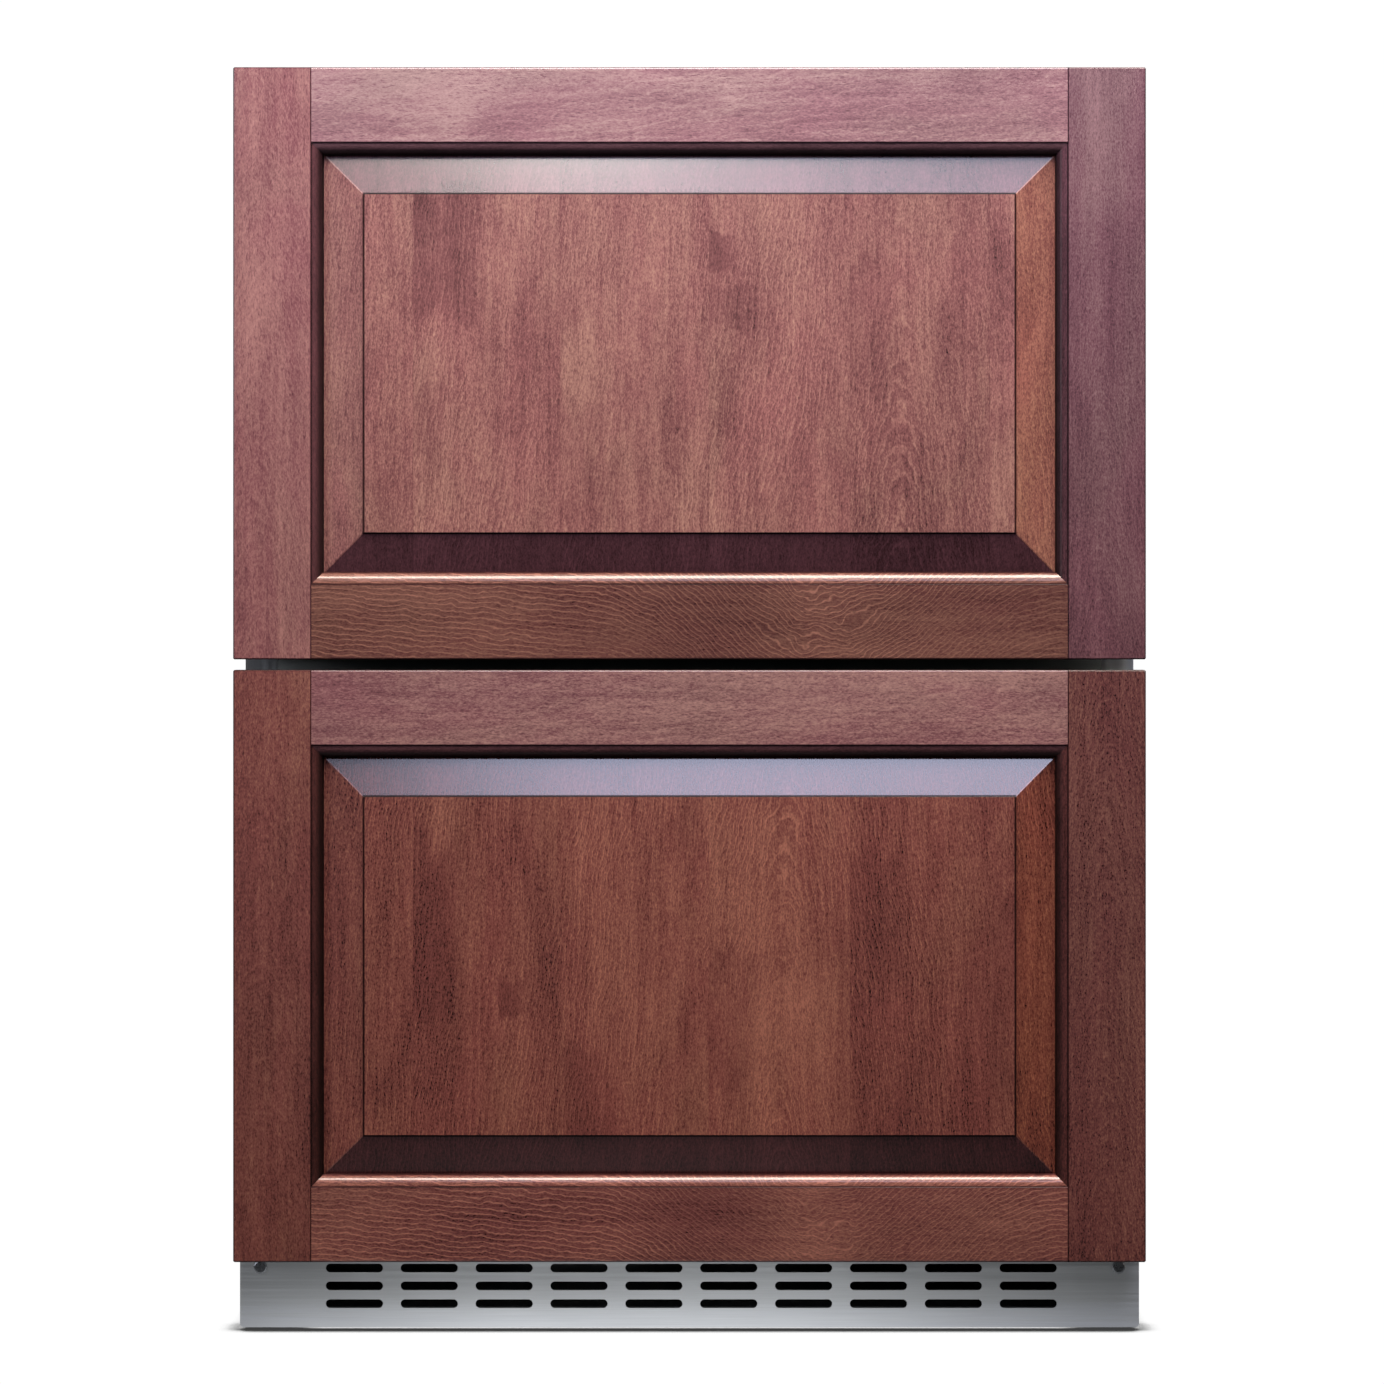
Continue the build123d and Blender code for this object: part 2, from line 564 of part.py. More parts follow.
def base_pan():
    """Steel base with tabs for the kick plate, a nut for each foot and studs for the compressor."""
    face = CABINET_FACE + SHELL
    kick_back = KICK_FACE + KICK_SHEET
    floor = (UNDERSIDE, PAN_TOP)
    sheet = PAN_TOP - UNDERSIDE
    pan = block(both(SHELL_INSIDE), (face, BACK_SHEET), floor)
    for side in (-1, 1):
        arm_x = sorted((side * (SHELL_INSIDE - 38.0), side * SHELL_INSIDE))
        pan += block(arm_x, (kick_back, face), floor)
        tab_x = sorted((side * (SHELL_INSIDE - 24.0), side * SHELL_INSIDE))
        pan += block(tab_x, (kick_back, kick_back + sheet), (UNDERSIDE, KICK_TOP - 1.0))
        wall_x = sorted((side * (SHELL_INSIDE - sheet), side * SHELL_INSIDE))
        pan += block(wall_x, (face, BAY_FRONT), (UNDERSIDE, 40.0))
    for x, y in FEET.values():
        pan += rod((x, y, PAN_TOP), "Z", 10.0, 9.0)
        pan -= rod((x, y, 0), "Z", 40.0, FOOT_STEM + RUNNING_FIT)
    for x, y in compressor_feet():
        pan += rod((x, y, PAN_TOP), "Z", 30.0, 3.0)
    return pan - kick_screw_bores()


def rear_cover_screws():
    """Places of the rear cover's screws, as (x, z)."""
    edge = CABINET_HALF_WIDTH - 9.0
    top = BAY_TOP - 7.0
    return [(s * edge, z) for s in (-1, 1) for z in (24.0, 130.0, top)] + [(0.0, top)]


def back_panel_screws():
    """Places of the back panel's screws, as (x, z)."""
    edge = CABINET_HALF_WIDTH - 9.0
    top = CABINET_TOP - 13.0
    return [(s * edge, z) for s in (-1, 1) for z in (264.0, 540.0, top)] + [(0.0, top)]


def back_screw_bores():
    places = rear_cover_screws() + back_panel_screws()
    return [screw_bore(x, BACK_SHEET, z) for x, z in places]


def kick_screw_bores():
    return [screw_bore(s * KICK_SCREW_X, KICK_FACE + 4.0, KICK_SCREW_Z) for s in (-1, 1)]


def back_panel():
    """Ribbed steel sheet that closes the back above the machine bay."""
    outside = BACK_SHEET + SHELL
    z = (BAY_TOP + 6.0, CABINET_TOP - 1.0)
    panel = block(both(CABINET_HALF_WIDTH - 1.0), (BACK_SHEET, outside), z)
    for x in (-150.0, 0.0, 150.0):
        rib = block((x - 9.0, x + 9.0), (outside, outside + 1.2), (z[0] + 50.0, z[1] - 70.0))
        panel += fillet(rib.edges().filter_by(Axis.Y), 8.0)
    return panel - back_screw_bores()


def rear_cover():
    """Louvred cover over the machine bay."""
    sheet_y = (BACK_SHEET, BACK_SHEET + SHELL)
    cover = block(both(CABINET_HALF_WIDTH - 1.0), sheet_y, (PAN_TOP, BAY_TOP + 5.0))
    columns = (-215.0, -145.0, -75.0, 75.0, 145.0)
    centres = [(x, 52.0 + row * 11.0) for x in columns for row in range(16)]
    cover -= slots(centres, 56.0, 5.0, (BACK_SHEET - 1.0, BACK_SHEET + 2.0))
    cover -= rod((GLAND_X, BACK_SHEET - 1.0, GLAND_Z), "Y", 4.0, GLAND_RADIUS + 0.05)
    return cover - back_screw_bores()


def casing_screws():
    """Cross-recessed screws of the rear cover, the back panel and the kick plate."""
    outside = BACK_SHEET + SHELL
    places = rear_cover_screws() + back_panel_screws()
    screws = [pan_head_screw(x, outside, z, 1) for x, z in places]
    return screws + [pan_head_screw(s * KICK_SCREW_X, KICK_FACE, KICK_SCREW_Z, -1) for s in (-1, 1)]


def kick_plate():
    """Stainless kick plate: a folded tray with rows of air slots and wrap-round ends."""
    s = KICK_SHEET
    face, back = KICK_FACE, KICK_FACE + KICK_RETURN
    z = (KICK_BOTTOM, KICK_TOP)
    plate = block(both(KICK_HALF_WIDTH), (face, back), z)
    plate = fillet(plate.edges().filter_by(Axis.Y).group_by(Axis.Z)[0], 2.5)
    plate -= block(both(KICK_HALF_WIDTH - s), (face + s, back + 1.0), (z[0] - 1.0, z[1] + 1.0))
    plate += block(both(KICK_HALF_WIDTH - 4.0), (face + s, face + 14.0), (z[0], z[0] + s))
    first = SLOT_MIDDLE_X - SLOT_PITCH_X * (SLOT_COLUMNS - 1) / 2
    centres = [(first + i * SLOT_PITCH_X, row) for i in range(SLOT_COLUMNS) for row in SLOT_ROWS]
    plate -= slots(centres, SLOT_LENGTH, SLOT_HEIGHT, (face - 1.0, face + s + 1.0))
    return plate - kick_screw_bores()


# ---- Machine bay --------------------------------------------------------------------------------
def compressor_feet():
    """Centres of the compressor's four fixings."""
    signs = [(sx, sy) for sx in (-1, 1) for sy in (-1, 1)]
    return [
        (COMPRESSOR_X + sx * COMPRESSOR_FOOT_X, COMPRESSOR_Y + sy * COMPRESSOR_FOOT_Y)
        for sx, sy in signs
    ]


def seam_flange():
    """The rolled seam round the compressor's can."""
    z = CAN_BOTTOM + SEAM_HEIGHT
    return rod((COMPRESSOR_X, COMPRESSOR_Y, z), "Z", 5.0, COMPRESSOR_RADIUS + SEAM_REACH)


def compressor():
    """Welded steel can on a stamped mounting plate, with three pipe stubs."""
    r, h = COMPRESSOR_RADIUS, COMPRESSOR_HEIGHT
    low, shoulder, crown = (r * 0.6, 0), (r, 34.0), (r, 96.0)
    cap = (r * 0.35, h)
    profile = (
        Line((0, 0), low)
        + TangentArc(low, shoulder, tangent=(1, 0.15))
        + Line(shoulder, crown)
        + TangentArc(crown, cap, tangent=(0, 1))
        + Line(cap, (0, h))
        + Line((0, h), (0, 0))
    )
    can = Pos(COMPRESSOR_X, COMPRESSOR_Y, CAN_BOTTOM) * revolve(Plane.XZ * make_face(profile), Axis.Z)
    plate = block(
        (COMPRESSOR_X - COMPRESSOR_FOOT_X - 16.0, COMPRESSOR_X + COMPRESSOR_FOOT_X + 16.0),
        (COMPRESSOR_Y - COMPRESSOR_FOOT_Y - 14.0, COMPRESSOR_Y + COMPRESSOR_FOOT_Y + 14.0),
        (COMPRESSOR_PLATE_Z, CAN_BOTTOM),
    )
    plate = fillet(plate.edges().filter_by(Axis.Z), 14.0)
    plate -= [rod((x, y, 0), "Z", 60.0, 5.0) for x, y in compressor_feet()]
    can += plate + seam_flange()
    stub = Pos(COMPRESSOR_RADIUS - 4.0, 0, 0) * rod((0, 0, 0), "X", STUB_REACH + 4.0, 4.5)
    for angle in (90, 180, 250):
        can += Pos(COMPRESSOR_X, COMPRESSOR_Y, CAN_BOTTOM + STUB_HEIGHT) * Rot(0, 0, angle) * stub
    return can


def compressor_grommets():
    """Rubber grommets between the base pan and the compressor's plate."""
    grommets = []
    for x, y in compressor_feet():
        body = rod((x, y, PAN_TOP), "Z", COMPRESSOR_PLATE_Z - PAN_TOP, 11.0)
        grommets.append(body - rod((x, y, 0), "Z", 60.0, 3.1))
    return grommets


def terminal_cover():
    """Plastic cover over the compressor's relay and terminals, shaped to the can."""
    x0 = COMPRESSOR_X + COMPRESSOR_RADIUS - 8.0
    cover = block((x0, x0 + 44.0), (COMPRESSOR_Y - 26.0, COMPRESSOR_Y + 26.0), (76.0, 132.0))
    cover = fillet(cover.edges().group_by(Axis.X)[-1], 5.0)
    cover -= rod((COMPRESSOR_X, COMPRESSOR_Y, 0), "Z", 300.0, COMPRESSOR_RADIUS)
    return cover - seam_flange()


def return_bend(centre, rise, axis, toward):
    """Half a ring of tube in an upright plane along X or Y, open on one side."""
    turn = Rot(90, 0, 0) if axis == "X" else Rot(0, 90, 0)
    ring = turn * Torus(rise / 2, TUBE_RADIUS)
    reach = rise
    keep = Pos(toward * reach / 2, 0, 0) if axis == "X" else Pos(0, toward * reach / 2, 0)
    size = (reach, 3 * TUBE_RADIUS) if axis == "X" else (3 * TUBE_RADIUS, reach)
    return Pos(*centre) * (ring & (keep * Box(*size, 2 * rise)))


def condenser_coil():
    """Fins on one serpentine tube, between two end plates that stand on the base pan."""
    y0, y1 = CONDENSER_Y
    z0, z1 = CONDENSER_Z
    pitch = (y1 - y0) / (CONDENSER_FINS - 1)
    coil = Part()
    for i in range(CONDENSER_FINS):
        fin_y = y0 + i * pitch
        coil += block(CONDENSER_X, (fin_y - 0.4, fin_y + 0.4), CONDENSER_Z)
    for plate_y in (y0 - 0.75, y1 + 0.75):
        coil += block(CONDENSER_X, (plate_y - 0.75, plate_y + 0.75), (PAN_TOP, z1 + 3.0))
    x = sum(CONDENSER_X) / 2
    rise = (z1 - z0 - 30.0) / (CONDENSER_ROWS - 1)
    ends = (y0 - TUBE_OVERHANG, y1 + TUBE_OVERHANG)
    for row in range(CONDENSER_ROWS):
        z = z0 + 15.0 + row * rise
        coil += rod((x, ends[0], z), "Y", ends[1] - ends[0], TUBE_RADIUS)
        if row < CONDENSER_ROWS - 1:
            toward = 1 if row % 2 == 0 else -1
            end = ends[1] if toward > 0 else ends[0]
            coil += return_bend((x, end, z + rise / 2), rise, "Y", toward)
    return coil


def fan_wheel(radius, hub, width, count, pitch, bore):
    """Axial fan wheel about Z, centred on the origin."""
    wheel = Cylinder(hub, width)
    blade = Box(radius - hub + 4.0, radius * 0.62, 1.6)
    blade = Pos((hub + radius) / 2, 0, 0) * Rot(pitch, 0, 0) * blade
    for i in range(count):
        wheel += Rot(0, 0, i * 360.0 / count) * blade
    wheel &= Cylinder(radius, 4 * width)
    return wheel - Cylinder(bore, 4 * width)


def condenser_fan_blades():
    wheel = fan_wheel(FAN_RADIUS, 20.0, 22.0, 5, 28.0, 3.0 + RUNNING_FIT)
    return Pos(FAN_X, FAN_Y, FAN_Z) * Rot(0, 90, 0) * wheel


def condenser_fan_motor():
    """Motor with its shaft in the wheel's hub, on two legs from the base pan."""
    x0 = FAN_X + 14.0
    motor = rod((x0, FAN_Y, FAN_Z), "X", 46.0, 30.0)
    motor = fillet(motor.edges(), 4.0)
    motor += rod((FAN_X - 8.0, FAN_Y, FAN_Z), "X", 26.0, 3.0)
    leg_x = (x0 + 12.0, x0 + 34.0)
    for side in (-1, 1):
        leg_y = sorted((FAN_Y + side * 22.0, FAN_Y + side * 26.0))
        foot_y = sorted((FAN_Y + side * 22.0, FAN_Y + side * 40.0))
        motor += block(leg_x, leg_y, (PAN_TOP, FAN_Z))
        motor += block(leg_x, foot_y, (PAN_TOP, PAN_TOP + 2.5))
    return motor


def condenser_fan_shroud():
    """Upright plate between the condenser and the fan, with a round throat."""
    x = FAN_X - 28.0
    shroud = block((x, x + 2.0), (FAN_Y - 76.0, FAN_Y + 76.0), (PAN_TOP, 214.0))
    shroud += rod((x, FAN_Y, FAN_Z), "X", 30.0, FAN_RADIUS + 7.0)
    return shroud - rod((x - 10.0, FAN_Y, FAN_Z), "X", 60.0, FAN_RADIUS + 5.0)


def pipe(points, bend, radius):
    """A pipe of straight runs and tangent bends."""
    path = FilletPolyline(*points, radius=bend)
    section = Plane(origin=path @ 0, z_dir=path % 0) * Circle(radius)
    return sweep(section, path=path)


def bay_lines():
    """Hot-side pipes in the machine bay, and the filter drier."""
    condenser_x = sum(CONDENSER_X) / 2
    condenser_y = CONDENSER_Y[0] - TUBE_OVERHANG
    low, high = CONDENSER_Z[0] + 15.0, CONDENSER_Z[1] - 15.0
    stub_x = COMPRESSOR_X - COMPRESSOR_RADIUS - STUB_REACH
    stub_z = CAN_BOTTOM + STUB_HEIGHT
    turn_x = stub_x - 22.0
    discharge = [
        (stub_x, COMPRESSOR_Y, stub_z),
        (turn_x, COMPRESSOR_Y, stub_z),
        (turn_x, FRONT_LANE, stub_z),
        (turn_x, FRONT_LANE, high),
        (condenser_x, FRONT_LANE, high),
        (condenser_x, condenser_y, high),
    ]
    liquid = [
        (condenser_x, condenser_y, low),
        (condenser_x, FRONT_LANE, low),
        (DRIER_X, FRONT_LANE, low),
        (DRIER_X, DRIER_Y, low),
        (DRIER_X, DRIER_Y, DRIER_Z[0]),
    ]
    drier = rod((DRIER_X, DRIER_Y, DRIER_Z[0]), "Z", DRIER_Z[1] - DRIER_Z[0], 11.0)
    return [pipe(discharge, 6.0, 3.2), pipe(liquid, 6.0, 3.2), fillet(drier.edges(), 5.0)]


def evaporator_lines():
    """Capillary and suction pipes between the machine bay and the evaporator."""
    top_lane = BAY_TOP - 17.0 - 2.0
    first, last = EVAPORATOR_FIRST_ROW, EVAPORATOR_FIRST_ROW + EVAPORATOR_PITCH * (EVAPORATOR_ROWS - 1)
    tip = EVAPORATOR_HALF_WIDTH + TUBE_OVERHANG
    drop = tip + 14.0
    stub_z = CAN_BOTTOM + STUB_HEIGHT
    capillary = [
        (DRIER_X, DRIER_Y, DRIER_Z[1]),
        (DRIER_X, DRIER_Y, top_lane),
        (DRIER_X, REAR_LANE, top_lane),
        (-drop, REAR_LANE, top_lane),
        (-drop, REAR_LANE, first),
        (-drop, EVAPORATOR_Y, first),
        (-tip, EVAPORATOR_Y, first),
    ]
    suction = [
        (COMPRESSOR_X, COMPRESSOR_Y + COMPRESSOR_RADIUS + STUB_REACH, stub_z),
        (COMPRESSOR_X, REAR_LANE, stub_z),
        (drop, REAR_LANE, stub_z),
        (drop, REAR_LANE, last),
        (drop, EVAPORATOR_Y, last),
        (tip, EVAPORATOR_Y, last),
    ]
    return [pipe(capillary, 9.0, 1.6), pipe(suction, 9.0, 4.5)]


def refrigerant_lines():
    """All the pipework, with the filter drier."""
    return bay_lines() + evaporator_lines()


def evaporation_tray():
    """Plastic tray on top of the compressor, where the defrost water dries up."""
    x = (COMPRESSOR_X - 70.0, COMPRESSOR_X + 60.0)
    y = (COMPRESSOR_Y - 70.0, COMPRESSOR_Y + 62.0)
    wall = 2.5
    tray = block(x, y, (TRAY_BOTTOM, TRAY_BOTTOM + 26.0))
    tray = fillet(tray.edges().filter_by(Axis.Z), 10.0)
    inside = [(lo + wall, hi - wall) for lo, hi in (x, y)]
    return tray - block(*inside, (TRAY_BOTTOM + wall, TRAY_BOTTOM + 40.0))


def power_gland():
    """Cable gland in the rear cover, with an open bore for the supply cable."""
    y0 = DEPTH / 2 - GLAND_LENGTH
    body = rod((GLAND_X, y0, GLAND_Z), "Y", GLAND_LENGTH, GLAND_RADIUS)
    body += rod((GLAND_X, BACK_SHEET - 3.0, GLAND_Z), "Y", 3.0, GLAND_RADIUS + 3.0)
    return body - rod((GLAND_X, y0 - 1.0, GLAND_Z), "Y", GLAND_LENGTH + 4.0, GLAND_BORE)


# ---- Inside the food compartment ----------------------------------------------------------------
def evaporator_coil():
    """Finned evaporator behind the air cover."""
    half = EVAPORATOR_HALF_WIDTH
    first, pitch_z = EVAPORATOR_FIRST_ROW, EVAPORATOR_PITCH
    fin_z = (first - 15.0, first + pitch_z * (EVAPORATOR_ROWS - 1) + 15.0)
    fin_y = (EVAPORATOR_Y - 16.5, EVAPORATOR_Y + 16.5)
    coil = Part()
    for i in range(EVAPORATOR_FINS):
        x = -half + i * 2 * half / (EVAPORATOR_FINS - 1)
        coil += block((x - 0.4, x + 0.4), fin_y, fin_z)
    tip = half + TUBE_OVERHANG
    for row in range(EVAPORATOR_ROWS):
        z = first + row * pitch_z
        coil += rod((-tip, EVAPORATOR_Y, z), "X", 2 * tip, TUBE_RADIUS)
        if row < EVAPORATOR_ROWS - 1:
            toward = 1 if row % 2 == 0 else -1
            coil += return_bend((toward * tip, EVAPORATOR_Y, z + pitch_z / 2), pitch_z, "X", toward)
    return coil


def evaporator_cover():
    """Moulded air cover: a shallow tray with a round fan grille and rows of intake slots."""
    sheet = 2.5
    y = (COVER_Y, CAVITY_BACK)
    z = (COVER_BOTTOM, COVER_TOP)
    cover = block(both(COVER_HALF_WIDTH), y, z)
    cover = fillet(cover.edges().filter_by(Axis.Y), 14.0)
    cover = fillet(cover.edges().group_by(Axis.Y)[0], 3.0)
    inside_z = (z[0] + sheet, z[1] - sheet)
    cover -= block(both(COVER_HALF_WIDTH - sheet), (y[0] + sheet, y[1] + 1.0), inside_z)
    grille = Plane.XZ.offset(-COVER_Y - 5.0) * Pos(0, AIR_FAN_Z)
    for radius in (14.0, 24.0, 34.0, 44.0):
        ring = Circle(radius + 2.6) - Circle(radius - 2.6)
        ring -= Rectangle(5.0, 120.0) + Rectangle(120.0, 5.0)
        cover -= extrude(grille * ring, 10.0)
    centres = [(x * 52.0, z[0] + 22.0 + row * 14.0) for x in range(-3, 4) for row in range(3)]
    return cover - slots(centres, 40.0, 6.0, (COVER_Y - 1.0, COVER_Y + 5.0))


def evaporator_fan_blades():
    wheel = fan_wheel(AIR_FAN_RADIUS, 15.0, 12.0, 7, 32.0, 2.0 + RUNNING_FIT)
    return Pos(0, COVER_Y + 14.0, AIR_FAN_Z) * Rot(-90, 0, 0) * wheel


def evaporator_fan_motor():
    """Fan motor on a bracket fixed to the back of the liner."""
    y0 = COVER_Y + 24.0
    bracket = (CAVITY_BACK - 2.0, CAVITY_BACK)
    motor = rod((0, y0, AIR_FAN_Z), "Y", bracket[0] - y0, 22.0)
    motor += rod((0, COVER_Y + 8.0, AIR_FAN_Z), "Y", 20.0, 2.0)
    return motor + block(both(62.0), bracket, (AIR_FAN_Z - 12.0, AIR_FAN_Z + 12.0))


def interior_lamp():
    """LED strip lamp: a channel on the ceiling with a separate diffuser in it."""
    y = (-176.0, -150.0)
    housing = block(both(130.0), y, (CAVITY_TOP - 8.0, CAVITY_TOP))
    housing -= block(both(127.0), (y[0] + 3.0, y[1] - 3.0), (CAVITY_TOP - 9.0, CAVITY_TOP - 3.0))
    lens = block(both(126.8), (y[0] + 3.2, y[1] - 3.2), (CAVITY_TOP - 9.5, CAVITY_TOP - 4.0))
    return [housing, fillet(lens.edges().filter_by(Axis.X).group_by(Axis.Z)[0], 3.0)]


def control_housing():
    """Control box under the ceiling, with a display window let into its face."""
    face = CONTROL_FACE
    housing = block(both(95.0), (face, face + 34.0), (KEY_Z - 13.5, CAVITY_TOP))
    housing = fillet(housing.edges().filter_by(Axis.Y).group_by(Axis.Z)[0], 5.0)
    housing -= block(both(24.0), (face - 1.0, face + 1.5), (KEY_Z - 7.0, KEY_Z + 7.0))
    for x in KEYS.values():
        housing -= key_block(x, KEY_PLAY, (face - 1.0, face + 7.0))
    window = block(both(23.9), (face + 0.3, face + 1.5), (KEY_Z - 6.9, KEY_Z + 6.9))
    return [housing, window]


def key_block(x, grow, y):
    """A rounded bar along Y with a key's outline."""
    w, h = KEY_SIZE[0] / 2 + grow, KEY_SIZE[1] / 2 + grow
    key = block((x - w, x + w), y, (KEY_Z - h, KEY_Z + h))
    return fillet(key.edges().filter_by(Axis.Y), 2.5)


def control_key(name):
    """A push key that stands proud of the control box."""
    key = key_block(KEYS[name], 0.0, (CONTROL_FACE - KEY_PROUD, CONTROL_FACE + 4.0))
    return fillet(key.edges().group_by(Axis.Y)[0], 0.5)


# ---- Feet ---------------------------------------------------------------------------------------
def levelling_foot(name):
    """Round pad and hexagon with a threaded stem that turns in the base pan's nut."""
    x, y = FEET[name]
    pad = rod((x, y, 0), "Z", 3.0, FOOT_RADIUS)
    pad = fillet(pad.edges().group_by(Axis.Z)[-1], 1.2)
    hexagon = extrude(Pos(x, y, 3.0) * RegularPolygon(13.0, 6), UNDERSIDE - 3.4)
    return pad + hexagon + rod((x, y, 3.0), "Z", FOOT_LENGTH - 3.0, FOOT_STEM)


# ---- Output -------------------------------------------------------------------------------------
def drawer_parts(drawer):
    """Every node of one drawer, by name."""
    holes = screw_holes(drawer)
    return {
        f"{drawer}_left_stile": left_stile(drawer) - holes,
        f"{drawer}_right_stile": right_stile(drawer) - holes,
        f"{drawer}_top_rail": rail(drawer, at_top=True),
        f"{drawer}_bottom_rail": rail(drawer, at_top=False),
        f"{drawer}_centre_panel": centre_panel(drawer),
        f"{drawer}_panel_screws": panel_screws(drawer),
        f"{drawer}_door_pan": door_pan(drawer),
        f"{drawer}_door_foam": door_foam(drawer),
        f"{drawer}_door_liner": door_liner(drawer),
        f"{drawer}_door_gasket": door_gasket(drawer),
        f"{drawer}_drawer_box": drawer_box(drawer),
        f"{drawer}_box_rails": slide_rails("box", drawer),
        f"{drawer}_middle_rails": slide_rails("middle", drawer),
    }


def cabinet_parts():
    """Every node of the cabinet, its machinery and its feet, by name."""
    parts = {
        "cabinet_shell": cabinet_shell(),
        "back_panel": back_panel(),
        "inner_liner": inner_liner(),
        "foam_insulation": foam_insulation(),
        "mullion_bar": mullion_bar(),
        "underbody_sheet": underbody_sheet(),
        "base_pan": base_pan(),
        "kick_plate": kick_plate(),
        "rear_cover": rear_cover(),
        "casing_screws": casing_screws(),
        "cabinet_slide_rails": [slide_rails("cabinet", d) for d in FRONTS],
        "compressor": compressor(),
        "compressor_grommets": compressor_grommets(),
        "terminal_cover": terminal_cover(),
        "condenser_coil": condenser_coil(),
        "condenser_fan_shroud": condenser_fan_shroud(),
        "condenser_fan_motor": condenser_fan_motor(),
        "condenser_fan_blades": condenser_fan_blades(),
        "refrigerant_lines": refrigerant_lines(),
        "evaporation_tray": evaporation_tray(),
        "power_gland": power_gland(),
        "evaporator_coil": evaporator_coil(),
        "evaporator_cover": evaporator_cover(),
        "evaporator_fan_motor": evaporator_fan_motor(),
        "evaporator_fan_blades": evaporator_fan_blades(),
        "interior_lamp": interior_lamp(),
        "control_housing": control_housing(),
    }
    parts.update({name: control_key(name) for name in KEYS})
    parts.update({name: levelling_foot(name) for name in FEET})
    return parts


def main():
    os.makedirs("parts", exist_ok=True)
    parts = cabinet_parts()
    for drawer in FRONTS:
        parts.update(drawer_parts(drawer))
    for name, shape in parts.items():
        pieces = shape if isinstance(shape, list) else [shape]
        solids = [solid for piece in pieces for solid in piece.solids()]
        whole = solids[0] if len(solids) == 1 else Compound(children=solids)
        export_step(whole, f"parts/{name}.step")


main()
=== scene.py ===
"""Looks of a two-drawer under-counter fridge with framed wooden fronts, in metres."""

import math

import bpy
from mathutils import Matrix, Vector


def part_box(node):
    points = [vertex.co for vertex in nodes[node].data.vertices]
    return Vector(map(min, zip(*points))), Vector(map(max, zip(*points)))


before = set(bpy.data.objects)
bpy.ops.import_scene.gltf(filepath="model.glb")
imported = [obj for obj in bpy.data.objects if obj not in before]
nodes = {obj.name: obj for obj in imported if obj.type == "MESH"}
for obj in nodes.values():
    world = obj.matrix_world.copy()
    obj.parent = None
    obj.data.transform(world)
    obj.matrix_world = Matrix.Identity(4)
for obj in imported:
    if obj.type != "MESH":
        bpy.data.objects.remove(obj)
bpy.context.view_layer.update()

GRAIN_UP = (0, 2, 1)  # across, along and depth axes of a board that stands
GRAIN_ACROSS = (2, 0, 1)


# ---- Shader helpers ------------------------------------------------------------------------------
def colour(red, green, blue):
    """A linear colour with alpha from 0-255 display values."""
    channels = [c / 255 for c in (red, green, blue)]
    linear = [c / 12.92 if c <= 0.04045 else ((c + 0.055) / 1.055) ** 2.4 for c in channels]
    return (*linear, 1.0)


